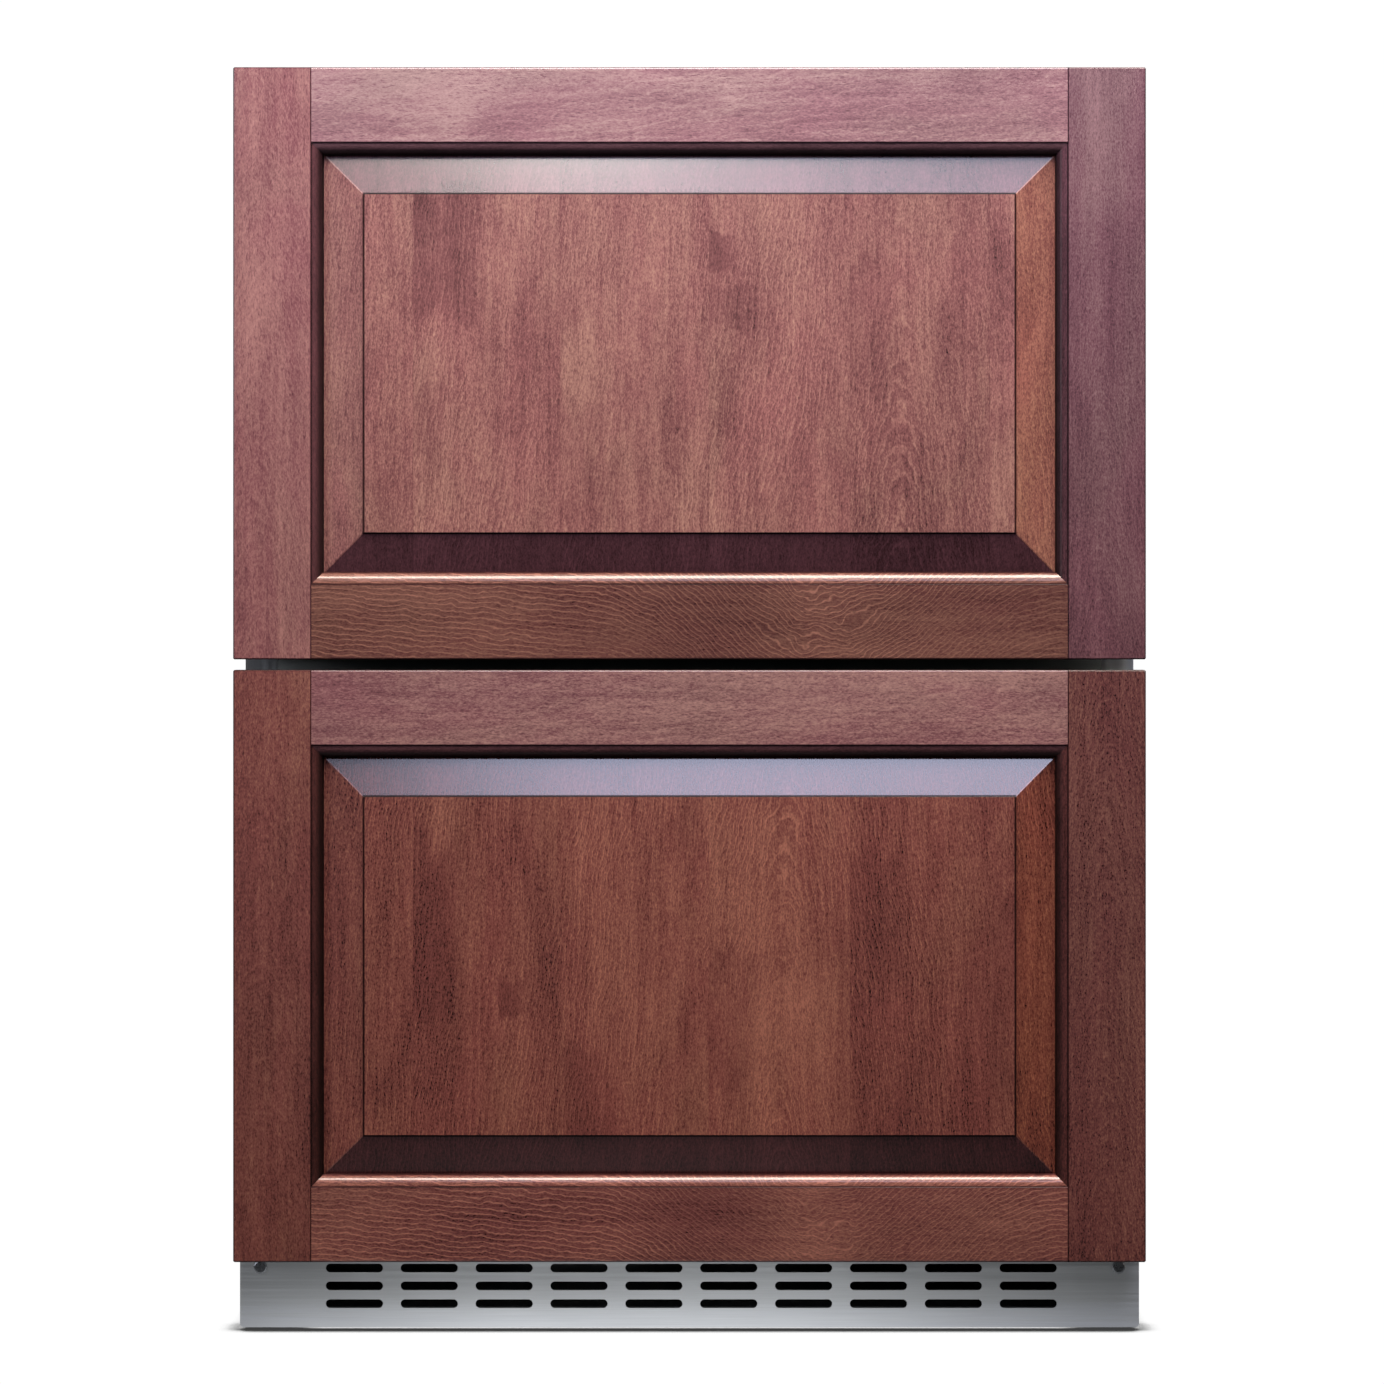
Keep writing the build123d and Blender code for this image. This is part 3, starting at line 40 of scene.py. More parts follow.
class Shader:
    """A node material with short calls for the nodes it is made of."""

    def __init__(self, name, roughness=0.5, metallic=0.0, coat=0.0, coat_roughness=0.2):
        self.material = bpy.data.materials.new(name)
        self.material.use_nodes = True
        self.tree = self.material.node_tree
        self.surface = self.tree.nodes["Principled BSDF"]
        self.surface.inputs["Roughness"].default_value = roughness
        self.surface.inputs["Metallic"].default_value = metallic
        self.surface.inputs["Coat Weight"].default_value = coat
        self.surface.inputs["Coat Roughness"].default_value = coat_roughness
        self.place = self.add("ShaderNodeTexCoord").outputs["Object"]

    def add(self, kind, **settings):
        node = self.tree.nodes.new(kind)
        for key, value in settings.items():
            setattr(node, key, value)
        return node

    def feed(self, socket, value):
        """Links an output to a socket, or sets the socket to a constant."""
        if isinstance(value, bpy.types.NodeSocket):
            self.tree.links.new(value, socket)
        else:
            socket.default_value = value

    def maths(self, operation, *values, clamp=False):
        node = self.add("ShaderNodeMath", operation=operation, use_clamp=clamp)
        for socket, value in zip(node.inputs, values):
            self.feed(socket, value)
        return node.outputs[0]

    def times(self, first, second):
        return self.maths("MULTIPLY", first, second)

    def rest(self, mask, amount):
        """1, lowered by the amount where the mask is 1."""
        return self.maths("SUBTRACT", 1.0, self.times(mask, amount))

    def distance(self, value, point):
        return self.maths("ABSOLUTE", self.maths("SUBTRACT", value, point))

    def centred(self, value, amount):
        """A value of 0 to 1 moved to lie around 0, then scaled."""
        return self.times(self.maths("SUBTRACT", value, 0.5), amount)

    def axes(self):
        """The x, y and z outputs of the position on the object."""
        return self.add_linked("ShaderNodeSeparateXYZ", self.place).outputs

    def add_linked(self, kind, value, **settings):
        node = self.add(kind, **settings)
        self.feed(node.inputs[0], value)
        return node

    def vector(self, x, y, z):
        node = self.add("ShaderNodeCombineXYZ")
        for socket, value in zip(node.inputs, (x, y, z)):
            self.feed(socket, value)
        return node.outputs[0]

    def stretch(self, scale, shift=(0, 0, 0), place=None):
        """The position, scaled per axis."""
        node = self.add("ShaderNodeMapping")
        self.feed(node.inputs["Vector"], place or self.place)
        node.inputs["Scale"].default_value = scale
        node.inputs["Location"].default_value = shift
        return node.outputs[0]

    def noise(self, place, scale=1.0, detail=2.0, roughness=0.5, distortion=0.0):
        node = self.add("ShaderNodeTexNoise")
        self.feed(node.inputs["Vector"], place)
        node.inputs["Scale"].default_value = scale
        node.inputs["Detail"].default_value = detail
        node.inputs["Roughness"].default_value = roughness
        node.inputs["Distortion"].default_value = distortion
        return node.outputs["Fac"]

    def spread(self, value, low, high, to_low=0.0, to_high=1.0, smooth=True):
        """Maps low..high to to_low..to_high, with no change beyond."""
        node = self.add("ShaderNodeMapRange")
        node.interpolation_type = "SMOOTHSTEP" if smooth else "LINEAR"
        for socket, part in zip(node.inputs, (value, low, high, to_low, to_high)):
            self.feed(socket, part)
        return node.outputs[0]

    def mix(self, factor, first, second, kind="MIX"):
        node = self.add("ShaderNodeMix", data_type="RGBA", blend_type=kind)
        self.feed(node.inputs[0], factor)
        self.feed(node.inputs[6], first)
        self.feed(node.inputs[7], second)
        return node.outputs[2]

    def tint(self, base, factor):
        """A colour times a grey factor."""
        grey = self.vector(factor, factor, factor)
        return self.mix(1.0, base, grey, kind="MULTIPLY")

    def shade(self, base, factors):
        """A colour with each channel multiplied."""
        return self.mix(1.0, base, (*factors, 1), kind="MULTIPLY")

    def bump(self, height, distance, strength=1.0):
        node = self.add("ShaderNodeBump")
        node.inputs["Strength"].default_value = strength
        node.inputs["Distance"].default_value = distance
        self.feed(node.inputs["Height"], height)
        self.feed(self.surface.inputs["Normal"], node.outputs["Normal"])

    def set(self, name, value):
        self.feed(self.surface.inputs[name], value)


def paint(names, shader):
    """Puts one material on every slot of the named nodes."""
    for name in names:
        data = nodes[name].data
        if not data.materials:
            data.materials.append(None)
        for slot in nodes[name].material_slots:
            slot.link = "OBJECT"
            slot.material = shader.material


# ---- Wood ----------------------------------------------------------------------------------------
# tones multiply the stain, shines the coat; a depth is the share of either that goes
EDGE_SHADE, EDGE_SHINE = 0.28, 0.05  # painted shade, and less coat, at the piece's rounded outer edges
STEP_SHADE, STEP_SHINE = 0.25, 0.05  # painted shade, and less coat, in the small step beside the bead
BEAD_SHINE, RECESS_SHINE = 0.40, 0.2
GLUE_LINE_TONE, JOINT_TONE = 0.92, 0.72
# the second is painted shade along the foot of the raised field
PORE_DEPTH, FOOT_SHADE_DEPTH = 0.34, 0.9
# the top and bottom bevels are darkened, partly as end grain that takes more stain and partly as painted
# shade; the bottom bevel's coat is dulled
END_BEVEL_STAIN_AND_SHADE, BOTTOM_BEVEL_DULLING = 0.64, 0.65
DARKEST = 0.03
RED, TAN = (1.02, 0.84, 0.95), (1.00, 1.12, 1.02)  # where the stain took deep, and where it took little
WARM_LOW_LIGHT, COOL_TOP_SHEEN = (1.02, 0.985, 0.91), (0.985, 1.005, 1.07)  # painted light: warmer towards the bottom and a cooler sheen towards the top of a front
PLUM_SHEEN, AMBER_SIDE_LIGHT = (0.95, 0.92, 1.20), (1.04, 0.95, 0.78)  # painted light: a plum sheen on the top and bottom bevels, and amber light on the right one


def ring_lines(s, layer, across, along, run, figure):
    """The growth rings as thin pale lines with a darker side, and the distance from their middle."""
    kind, middle, bend, slope, spacing, strength = figure
    burst = kind == "burst"
    lie, other = (along, across) if burst else (across, run)
    off = s.maths("SUBTRACT", lie, middle)
    off = s.maths("ADD", off, s.centred(layer((14, 7, 14), 2.0), 0.03))
    bow = s.maths("SQRT", s.maths("ADD", s.times(off, off), bend * bend))
    rings = s.maths("ADD", s.times(bow, slope), other)
    rings = s.maths("ADD", rings, s.centred(layer((40, 40, 40), 3.0, 0.6), spacing * 2.6))
    rings = s.maths("ADD", rings, s.centred(layer((150, 150, 150), 1.0), spacing * 0.6))
    if burst:
        reach = s.maths("ABSOLUTE", off)
        swirl = s.spread(reach, 0.0, 0.075, 0.030, 0.0)
        rings = s.maths("ADD", rings, s.times(s.centred(layer((42, 34, 42), 2.0), 1.0), swirl))
        rings = s.maths("ADD", rings, s.spread(reach, 0.0, 0.15, 0.075, 0.0))
    wave = s.maths("FRACT", s.maths("DIVIDE", rings, spacing))
    pale = s.spread(s.distance(wave, 0.5), 0.0, 0.20, 1.0, 0.0)
    dark = s.spread(wave, 0.5, 1.0, -1.0, 0.0, smooth=False)
    shown = s.spread(layer((16, 5, 12), 2.0), 0.34, 0.58, 0.5 if burst else 0.25, 1.0)
    lines = s.maths("ADD", pale, s.times(dark, 0.15 if burst else 0.40))
    return off, s.times(s.times(lines, shown), strength * 1.5)


def dark_patches(s, x, z, level, blotch, stains):
    """Ragged dark patches, each starting at a glue line and fading to its right."""
    for left, bottom, wide, tall, amount in stains:
        side = s.maths("DIVIDE", s.maths("SUBTRACT", x, left), wide)
        inside = s.times(s.spread(side, -0.02, 0.02), s.spread(side, 0.35, 1.0, 1.0, 0.0))
        rise = s.maths("SUBTRACT", z, bottom + tall / 2)
        rise = s.maths("ABSOLUTE", s.maths("DIVIDE", rise, tall / 2))
        edge = s.spread(s.maths("ADD", rise, s.centred(blotch, 1.8)), 0.75, 1.0, 1.0, 0.0)
        level = s.times(level, s.rest(s.times(inside, edge), amount))
    return level


def bead_marks(s, xyz, level, bead, step):
    """Painted shade on the moulded edge, behind it and in its step, and a painted highlight on the bottom
    rail's bead; returns the level, the shine and the polish.
    """
    face, start, dark, tone = bead
    behind = s.maths("SUBTRACT", xyz[1], face)
    # painted shade on the bead and in the recess behind it; on the bottom rail the bead is lightened, a
    # painted highlight
    level = s.times(level, s.spread(behind, 0.0002, 0.0010, 1.0, tone))
    level = s.times(level, s.spread(behind, start, start + 0.0026, 1.0, dark))
    polish = s.spread(behind, 0.0002, 0.0010, 1.0, BEAD_SHINE)
    polish = s.times(polish, s.spread(behind, start, start + 0.0012, 1.0, RECESS_SHINE))
    axis, place = step
    beside = s.distance(xyz[axis], place)
    # painted shade in the small step beside the bead
    level = s.times(level, s.spread(beside, 0.0003, 0.0009, STEP_SHADE, 1.0))
    return level, s.spread(beside, 0.0003, 0.0009, STEP_SHINE, 1.0), polish


def panel_marks(s, x, z, level, field):
    """Marks of the raised panel: painted shade along the foot of its field, and top and bottom bevels
    darkened partly as end grain that takes more stain and partly as painted shade.

    Returns the level, the shine, and masks of the top and bottom bevels and of the right one.
    """
    half_width, middle, half_height = field
    side = s.maths("SUBTRACT", s.maths("ABSOLUTE", x), half_width)
    end = s.maths("SUBTRACT", s.distance(z, middle), half_height)
    rim = s.maths("MAXIMUM", side, end)
    foot = s.times(s.spread(rim, -0.0001, 0.0001), s.spread(rim, 0.0008, 0.0017, 1.0, 0.0))
    ends = s.times(s.spread(end, 0.0, 0.0006), s.maths("GREATER_THAN", end, side))
    bottom = s.times(ends, s.maths("LESS_THAN", z, middle))
    right = s.spread(s.maths("SUBTRACT", x, half_width), 0.0, 0.0006)
    right = s.times(right, s.maths("GREATER_THAN", side, end))
    # painted shade along the foot of the field
    level = s.times(level, s.rest(foot, FOOT_SHADE_DEPTH))
    # end bevels darkened, partly end grain taking more stain and partly painted shade
    level = s.times(level, s.rest(ends, END_BEVEL_STAIN_AND_SHADE))
    shine = s.times(s.rest(foot, FOOT_SHADE_DEPTH), s.rest(bottom, BOTTOM_BEVEL_DULLING))
    return level, shine, ends, right


def wood(
    name, grain, seed, tone, grain_depth, figure, limits, span,
    boards=(), stains=(), bead=None, step=None, joint=None, field=None, lean=None,
):
    """Stained birch with a satin coat.

    grain is the across, along and depth axes. figure says how the growth rings run: (kind, middle, bend,
    slope, spacing, strength). limits are the piece's outer corners, whose rounded edges get painted shade,
    and span its front's lowest and highest z, over which painted light turns from warmer at the bottom to a
    cooler sheen at the top. boards are the glue lines across, stains dark patches beside them. bead is the
    face's y, how far behind it painted shade starts, how dark it gets there and the bead's tone before
    that:
    painted shade on most beads and a painted highlight on the bottom rail's. step is the axis and place of
    the small step beside the bead, which gets painted shade. joint is the |x| of a rail's ends. field is
    the raised field's half width, middle z and half height. lean is an axis, its range, and the tone at
    both ends, painted light that is lighter where more light falls.
    """
    s = Shader(name)
    xyz = s.axes()
    x, z = xyz[0], xyz[2]
    across, along, depth = (xyz[i] for i in grain)
    board = 0.0
    for line in boards:
        board = s.maths("ADD", board, s.maths("GREATER_THAN", across, line))
    pick = s.noise(s.vector(s.times(board, 7.31), seed * 1.7, 0.5), 1.0, 0.0)
    run = s.maths("ADD", along, s.maths("ADD", s.times(board, 1.37), seed))
    here = s.vector(across, run, depth)

    def layer(scales, detail, roughness=0.55, distortion=0.0):
        place = s.stretch(scales, (seed, 0, seed * 0.3), here)
        return s.noise(place, 1.0, detail, roughness, distortion)

    sand = layer((1150, 560, 900), 1.0, 0.6)
    dash = layer((900, 260, 700), 2.0, 0.7, 0.3)
    fibre = layer((420, 18, 300), 4.0, 0.72)
    streak = layer((90, 2.6, 60), 3.0, 0.6, 0.4)
    blotch = layer((26, 8, 20), 4.0, 0.66, 0.9)
    cloud = layer((7, 3, 6), 2.0, 0.5, 0.3)
    pores = s.spread(layer((1300, 210, 900), 1.0, 0.5), 0.58, 0.72)
    off, lines = ring_lines(s, layer, across, along, run, figure)

    level = 1.0
    for value, amount in (
        (sand, 1.3 * grain_depth), (dash, grain_depth), (fibre, 0.8 * grain_depth),
        (streak, 0.55), (blotch, 1.05), (cloud, 0.6), (pick, 0.55),
    ):
        level = s.maths("ADD", level, s.centred(value, amount))
    level = s.maths("ADD", level, lines)
    if figure[0] == "burst":
        level = s.maths("ADD", level, s.spread(s.maths("ABSOLUTE", off), 0.0, 0.05, 0.22, 0.0))
        level = s.times(level, s.spread(s.distance(off, -0.075), 0.0, 0.07, 0.82, 1.0))
    level = s.times(level, s.rest(pores, PORE_DEPTH))
    level = dark_patches(s, x, z, level, blotch, stains)
    for line in boards:
        near = s.distance(across, line)
        level = s.times(level, s.spread(near, 0.0001, 0.0006, GLUE_LINE_TONE, 1.0))

    # painted light: lighter towards the top of an upright and the right of a top rail
    if lean is not None:
        axis, start, end, from_tone, to_tone = lean
        level = s.times(level, s.spread(xyz[axis], start, end, from_tone, to_tone, smooth=False))
    shine, polish, ends, right = 1.0, 1.0, 0.0, 0.0
    if bead is not None:
        level, shine, polish = bead_marks(s, xyz, level, bead, step)
    if joint is not None:
        seam = s.spread(s.maths("ABSOLUTE", x), joint - 0.0006, joint, 1.0, JOINT_TONE)
        level = s.times(level, seam)
    if field is not None:
        level, shine, ends, right = panel_marks(s, x, z, level, field)
    else:
        low, high = limits
        for value, start, end in ((x, low.x, high.x), (z, low.z, high.z)):
            inwards = s.maths("MINIMUM", s.maths("SUBTRACT", value, start), s.maths("SUBTRACT", end, value))
            # painted shade at the rounded outer edges
            level = s.times(level, s.spread(inwards, 0.0002, 0.0014, EDGE_SHADE, 1.0))
            shine = s.times(shine, s.spread(inwards, 0.0002, 0.0014, EDGE_SHINE, 1.0))
    level = s.maths("MAXIMUM", level, DARKEST)

    hue = s.maths("ADD", level, s.centred(layer((20, 7, 16), 3.0, 0.6, 0.6), 1.0))
    stain = s.mix(s.spread(hue, 0.55, 1.45), s.shade(tone, RED), s.shade(tone, TAN))
    # painted light: warmer towards the bottom of a front, a cooler sheen towards its top
    height = s.spread(z, *span, smooth=False)
    stain = s.mix(height, s.shade(stain, WARM_LOW_LIGHT), s.shade(stain, COOL_TOP_SHEEN))
    # painted light: plum sheen on the top and bottom bevels, amber light on the right bevel
    stain = s.mix(ends, stain, s.shade(stain, PLUM_SHEEN))
    stain = s.mix(right, stain, s.shade(stain, AMBER_SIDE_LIGHT))
    s.set("Base Color", s.tint(stain, level))
    s.set("Roughness", s.maths("ADD", s.spread(fibre, 0.3, 0.7, 0.42, 0.54), s.times(pores, 0.1)))
    s.set("Coat Weight", s.times(shine, polish))
    s.surface.inputs["Specular IOR Level"].default_value = 0.04
    s.surface.inputs["Coat Roughness"].default_value = 0.19
    s.bump(s.maths("SUBTRACT", s.maths("ADD", fibre, s.centred(sand, 0.5)), pores), 0.00008, 0.5)
    return s


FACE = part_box("upper_top_rail")[0].y
STILE_FACE, RAIL_FACE = 0.0510, 0.0492  # flat face, outer edge to the step beside the bead
STILE_INNER = 0.2475
FIELD_HALF_WIDTH, FIELD_HALF_HEIGHT = 0.2125, 0.1105
BOARD_LINES = (-0.1808, -0.0847, 0.0127, 0.1050, 0.1965)
# left edge, bottom above the panel's, width, height and depth of tone of each dark patch
STAINS = {
    "upper": (
        (-0.1808, 0.165, 0.055, 0.095, 0.30),
        (-0.1808, 0.075, 0.030, 0.060, 0.14),
        (0.0127, 0.200, 0.022, 0.034, 0.34),
        (0.0127, 0.165, 0.050, 0.030, 0.18),
        (-0.0847, 0.030, 0.050, 0.110, 0.12),
        (0.1050, 0.120, 0.035, 0.100, 0.10),
    ),
    "lower": (
        (-0.1808, 0.110, 0.040, 0.120, 0.20),
        (-0.1250, 0.105, 0.022, 0.034, 0.30),
        (-0.0847, 0.030, 0.045, 0.060, 0.18),
        (0.0127, 0.060, 0.050, 0.100, 0.14),
        (0.1050, 0.150, 0.040, 0.080, 0.12),
        (0.1965, 0.040, 0.030, 0.150, 0.16),
    ),
}
# stain, depth of the fine grain, and figure
FRONTS = {
    "upper": {
        "left_stile": (colour(82, 54, 55), 0.76, ("arch", -0.012, 0.010, 3.2, 0.0115, 0.12)),
        # the purple of this stain is partly painted light, a lavender sheen
        "right_stile": (colour(68, 47, 52), 0.95, ("arch", 0.002, 0.006, 4.5, 0.0150, 0.14)),
        "top_rail": (colour(92, 70, 72), 0.58, ("arch", 0.035, 0.012, 7.0, 0.0400, 0.14)),
        "bottom_rail": (colour(59, 36, 33), 0.9, ("burst", 0.090, 0.004, -0.10, 0.0036, 0.75)),
        "centre_panel": (colour(88, 60, 57), 0.92, ("arch", 0.140, 0.012, 6.0, 0.0210, 0.24)),
    },
    "lower": {
        "left_stile": (colour(73, 43, 37), 0.98, ("arch", -0.012, 0.010, 3.4, 0.0125, 0.12)),
        "right_stile": (colour(65, 38, 34), 1.35, ("arch", 0.004, 0.008, 4.0, 0.0150, 0.22)),
        "top_rail": (colour(83, 57, 55), 0.98, ("arch", 0.020, 0.012, 7.0, 0.0400, 0.16)),
        "bottom_rail": (colour(70, 41, 37), 1.0, ("burst", 0.090, 0.004, -0.10, 0.0036, 0.75)),
        "centre_panel": (colour(77, 44, 37), 1.12, ("arch", 0.060, 0.010, 6.0, 0.0180, 0.34)),
    },
}
# painted shade: how far behind the face the moulded edge darkens, its tone there, and the bead's tone;
# beads facing away from the light are dark, and the bottom rail's, facing up, is lightened as a painted
# highlight
BEAD_SHADING = {
    "left_stile": (0.0004, 0.25, 0.36),
    "right_stile": (0.0004, 0.30, 0.62),
    "top_rail": (0.0004, 0.25, 0.40),
    "bottom_rail": (0.0030, 0.70, 1.35),
}
# painted light: tone at the bottom and top of an upright piece, or at the left and right of a rail, lighter
# towards the top and the right where more light falls
LIGHT_LEANS = {
    "upper": {
        "left_stile": (0.92, 1.05),
        "right_stile": (0.97, 1.03),
        "top_rail": (0.89, 1.12),
        "centre_panel": (1, 1),
    },
    "lower": {
        "left_stile": (0.86, 1.10),
        "right_stile": (0.95, 1.06),
        "top_rail": (0.93, 1.08),
        "centre_panel": (0.91, 1.08),
    },
}


def upright_options(front, member, low, high):
    """What wood() is told about a stile or a panel."""
    options = {"grain": GRAIN_UP, "limits": (low, high), "lean": (2, low.z, high.z, *LIGHT_LEANS[front][member])}
    if member == "centre_panel":
        options["boards"] = BOARD_LINES
        options["field"] = (FIELD_HALF_WIDTH, (low.z + high.z) / 2, FIELD_HALF_HEIGHT)
        options["stains"] = [(x, low.z + up, w, h, d) for x, up, w, h, d in STAINS[front]]
        return options
    options["bead"] = (FACE, *BEAD_SHADING[member])
    options["step"] = (0, low.x + STILE_FACE if member == "left_stile" else high.x - STILE_FACE)
    return options


def rail_options(front, member, low, high):
    """What wood() is told about a rail; its ends meet the stiles, so they aren't outer edges."""
    options = {"grain": GRAIN_ACROSS, "joint": STILE_INNER, "bead": (FACE, *BEAD_SHADING[member])}
    options["limits"] = (Vector((-1, 0, low.z)), Vector((1, 0, high.z)))
    options["step"] = (2, high.z - RAIL_FACE if member == "top_rail" else low.z + RAIL_FACE)
    if member == "top_rail":
        options["lean"] = (0, -0.25, 0.25, *LIGHT_LEANS[front][member])
    return options


for index, (front, members) in enumerate(FRONTS.items()):
    span = [corner.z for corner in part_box(f"{front}_left_stile")]
    for count, (member, (tone, grain_depth, figure)) in enumerate(members.items()):
        node = f"{front}_{member}"
        low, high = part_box(node)
        middle = (low + high) / 2
        rail = member.endswith("rail")
        options = (rail_options if rail else upright_options)(front, member, low, high)
        kind, shift, *shape = figure
        if kind == "arch" and member != "centre_panel":
            shift += middle.z if rail else middle.x
        seed = 3.7 * index + 1.13 * count + 0.4
        shader = wood(
            f"wood_{node}", seed=seed, tone=tone, grain_depth=grain_depth,
            figure=(kind, shift, *shape), span=span, **options,
        )
        paint([node], shader)


# ---- Metals --------------------------------------------------------------------------------------
def brushed(name, tone, roughness, along, bump=0.000016, wear=0.12, painted=None):
    """Brushed stainless sheet: fine lines along one axis, soft clouds and faint finger marks.

    Where the sheet faces that axis the lines run along x, or along y if the axis is x. painted is the
    colour of a matt coat on whatever faces up.
    """
    s = Shader(name, roughness=roughness, metallic=1.0)
    normal = s.add("ShaderNodeTexCoord").outputs["Normal"]
    facing = s.add_linked("ShaderNodeSeparateXYZ", normal).outputs
    turned = s.maths("GREATER_THAN", s.maths("ABSOLUTE", facing[along]), 0.7)

    def strokes(narrow, lengthwise, detail):
        runs = []
        for axis in (along, 0 if along else 1):
            scales = [narrow, narrow, narrow]
            scales[axis] = lengthwise
            runs.append(s.noise(s.stretch(scales), 1.0, detail, 0.62))
        straight = s.times(runs[0], s.maths("SUBTRACT", 1.0, turned))
        return s.maths("ADD", straight, s.times(runs[1], turned))

    lines = strokes(2600.0, 14.0, 3.0)
    bands = strokes(420.0, 3.0, 2.0)
    clouds = s.noise(s.place, 5.0, 3.0, 0.55)
    marks = s.noise(s.place, 38.0, 3.0, 0.6, 0.8)
    level = s.spread(lines, 0.3, 0.7, 0.94, 1.06)
    level = s.maths("ADD", level, s.spread(clouds, 0.3, 0.7, -wear / 2, wear / 2))
    rough = s.spread(bands, 0.3, 0.7, roughness - 0.05, roughness + 0.05)
    rough = s.maths("ADD", rough, s.spread(marks, 0.55, 0.75, 0.0, 0.03))
    if painted is not None:
        coated = s.maths("GREATER_THAN", facing[2], 0.7)
        tone = s.mix(coated, tone, painted)
        rough = s.maths("ADD", rough, s.times(coated, 0.25))
        s.set("Metallic", s.maths("SUBTRACT", 1.0, coated))
        s.surface.inputs["Specular IOR Level"].default_value = 0.06
    s.set("Base Color", s.tint(tone, level))
    s.set("Roughness", rough)
    s.bump(s.maths("ADD", lines, s.times(bands, 0.25)), bump, 0.4)
    return s


def galvanised(name):
    """Hot-dip sheet: crystal spangle with a slight change of tone and gloss from grain to grain."""
    s = Shader(name, roughness=0.4, metallic=1.0)
    cell = s.add("ShaderNodeTexVoronoi", feature="F1", distance="EUCLIDEAN")
    s.feed(cell.inputs["Vector"], s.place)
    cell.inputs["Scale"].default_value = 95.0
    spangle = s.add_linked("ShaderNodeSeparateXYZ", cell.outputs["Color"]).outputs[0]
    clouds = s.noise(s.place, 7.0, 3.0, 0.6)
    dull = s.noise(s.place, 60.0, 4.0, 0.7)
    level = s.spread(spangle, 0.0, 1.0, 0.86, 1.06)
    level = s.maths("ADD", level, s.spread(clouds, 0.3, 0.7, -0.07, 0.05))
    s.set("Base Color", s.tint(colour(168, 172, 176), level))
    rough = s.spread(spangle, 0.0, 1.0, 0.3, 0.46)
    s.set("Roughness", s.maths("ADD", rough, s.spread(dull, 0.4, 0.7, 0.0, 0.1)))
    s.bump(s.maths("ADD", s.times(spangle, 0.5), dull), 0.00004, 0.5)
    return s


def metal(name, tone, roughness, bump=0.00004, stain=0.15, scale=30.0):
    """Plain metal with soft tarnish, tiny scratches and small pits."""
    s = Shader(name, roughness=roughness, metallic=1.0)
    tarnish = s.noise(s.place, scale, 4.0, 0.6, 0.3)
    scratches = s.noise(s.stretch((900, 900, 120)), 1.0, 2.0, 0.6)
    pits = s.noise(s.place, 1500.0, 2.0, 0.6)
    level = s.spread(tarnish, 0.3, 0.7, 1.0 - stain, 1.0 + stain * 0.4)
    level = s.maths("ADD", level, s.spread(scratches, 0.3, 0.7, -0.04, 0.04))
    s.set("Base Color", s.tint(tone, level))
    rough = s.spread(tarnish, 0.3, 0.7, roughness + 0.08, roughness - 0.06)
    s.set("Roughness", s.maths("ADD", rough, s.spread(scratches, 0.4, 0.7, 0.0, 0.06)))
    s.bump(s.maths("ADD", pits, scratches), bump, 0.5)
    return s


# ---- Plastics, paint and rubber ------------------------------------------------------------------
def moulded(name, tone, roughness=0.4, grain=900.0, bump=0.00003, dust=0.08, mottle=0.06, coat=0.0):
    """Moulded plastic, paint or rubber: a fine surface grain, slight mottling and thin dust."""
    s = Shader(name, roughness=roughness, coat=coat, coat_roughness=0.15)
    texture = s.noise(s.place, grain, 3.0, 0.6)
    soft = s.noise(s.place, 11.0, 3.0, 0.55, 0.2)
    film = s.spread(s.noise(s.place, 45.0, 4.0, 0.7, 0.5), 0.48, 0.75)
    level = s.spread(soft, 0.3, 0.7, 1.0 - mottle, 1.0 + mottle)
    level = s.maths("ADD", level, s.spread(texture, 0.3, 0.7, -0.03, 0.03))
    base = s.tint(tone, level)
    s.set("Base Color", s.mix(s.times(film, dust), base, colour(176, 172, 164)))
    rough = s.spread(texture, 0.3, 0.7, roughness - 0.05, roughness + 0.05)
    s.set("Roughness", s.maths("ADD", rough, s.times(film, 0.14)))
    s.bump(texture, bump, 0.6)
    return s


def foam(name):
    """Cut polyurethane foam: creamy, with small open cells."""
    s = Shader(name, roughness=0.85)
    cell = s.add("ShaderNodeTexVoronoi", feature="F1")
    s.feed(cell.inputs["Vector"], s.place)
    cell.inputs["Scale"].default_value = 520.0
    depth = s.spread(cell.outputs["Distance"], 0.1, 0.7)
    soft = s.noise(s.place, 14.0, 3.0, 0.6)
    level = s.spread(depth, 0.0, 1.0, 0.86, 1.04)
    level = s.maths("ADD", level, s.spread(soft, 0.3, 0.7, -0.06, 0.05))
    s.set("Base Color", s.tint(colour(226, 206, 150), level))
    s.set("Roughness", s.spread(depth, 0.0, 1.0, 0.94, 0.78))
    s.bump(depth, 0.0004, 0.7)
    return s


def lamp(name):
    """Opal diffuser of the LED lamp, with a faint glow and fine ribs."""
    s = Shader(name, roughness=0.3)
    ribs = s.noise(s.stretch((30, 700, 700)), 1.0, 2.0, 0.5)
    soft = s.noise(s.place, 60.0, 2.0, 0.5)
    s.set("Base Color", s.tint(colour(236, 238, 236), s.spread(soft, 0.3, 0.7, 0.94, 1.0)))
    s.set("Roughness", s.spread(ribs, 0.3, 0.7, 0.24, 0.36))
    s.bump(ribs, 0.00004, 0.5)
    s.surface.inputs["Emission Color"].default_value = (1.0, 0.97, 0.9, 1.0)
    s.surface.inputs["Emission Strength"].default_value = 0.35
    return s


DRAWERS = ("upper", "lower")


def each(*parts):
    """Node names of both drawers' parts."""
    return [f"{drawer}_{part}" for drawer in DRAWERS for part in parts]


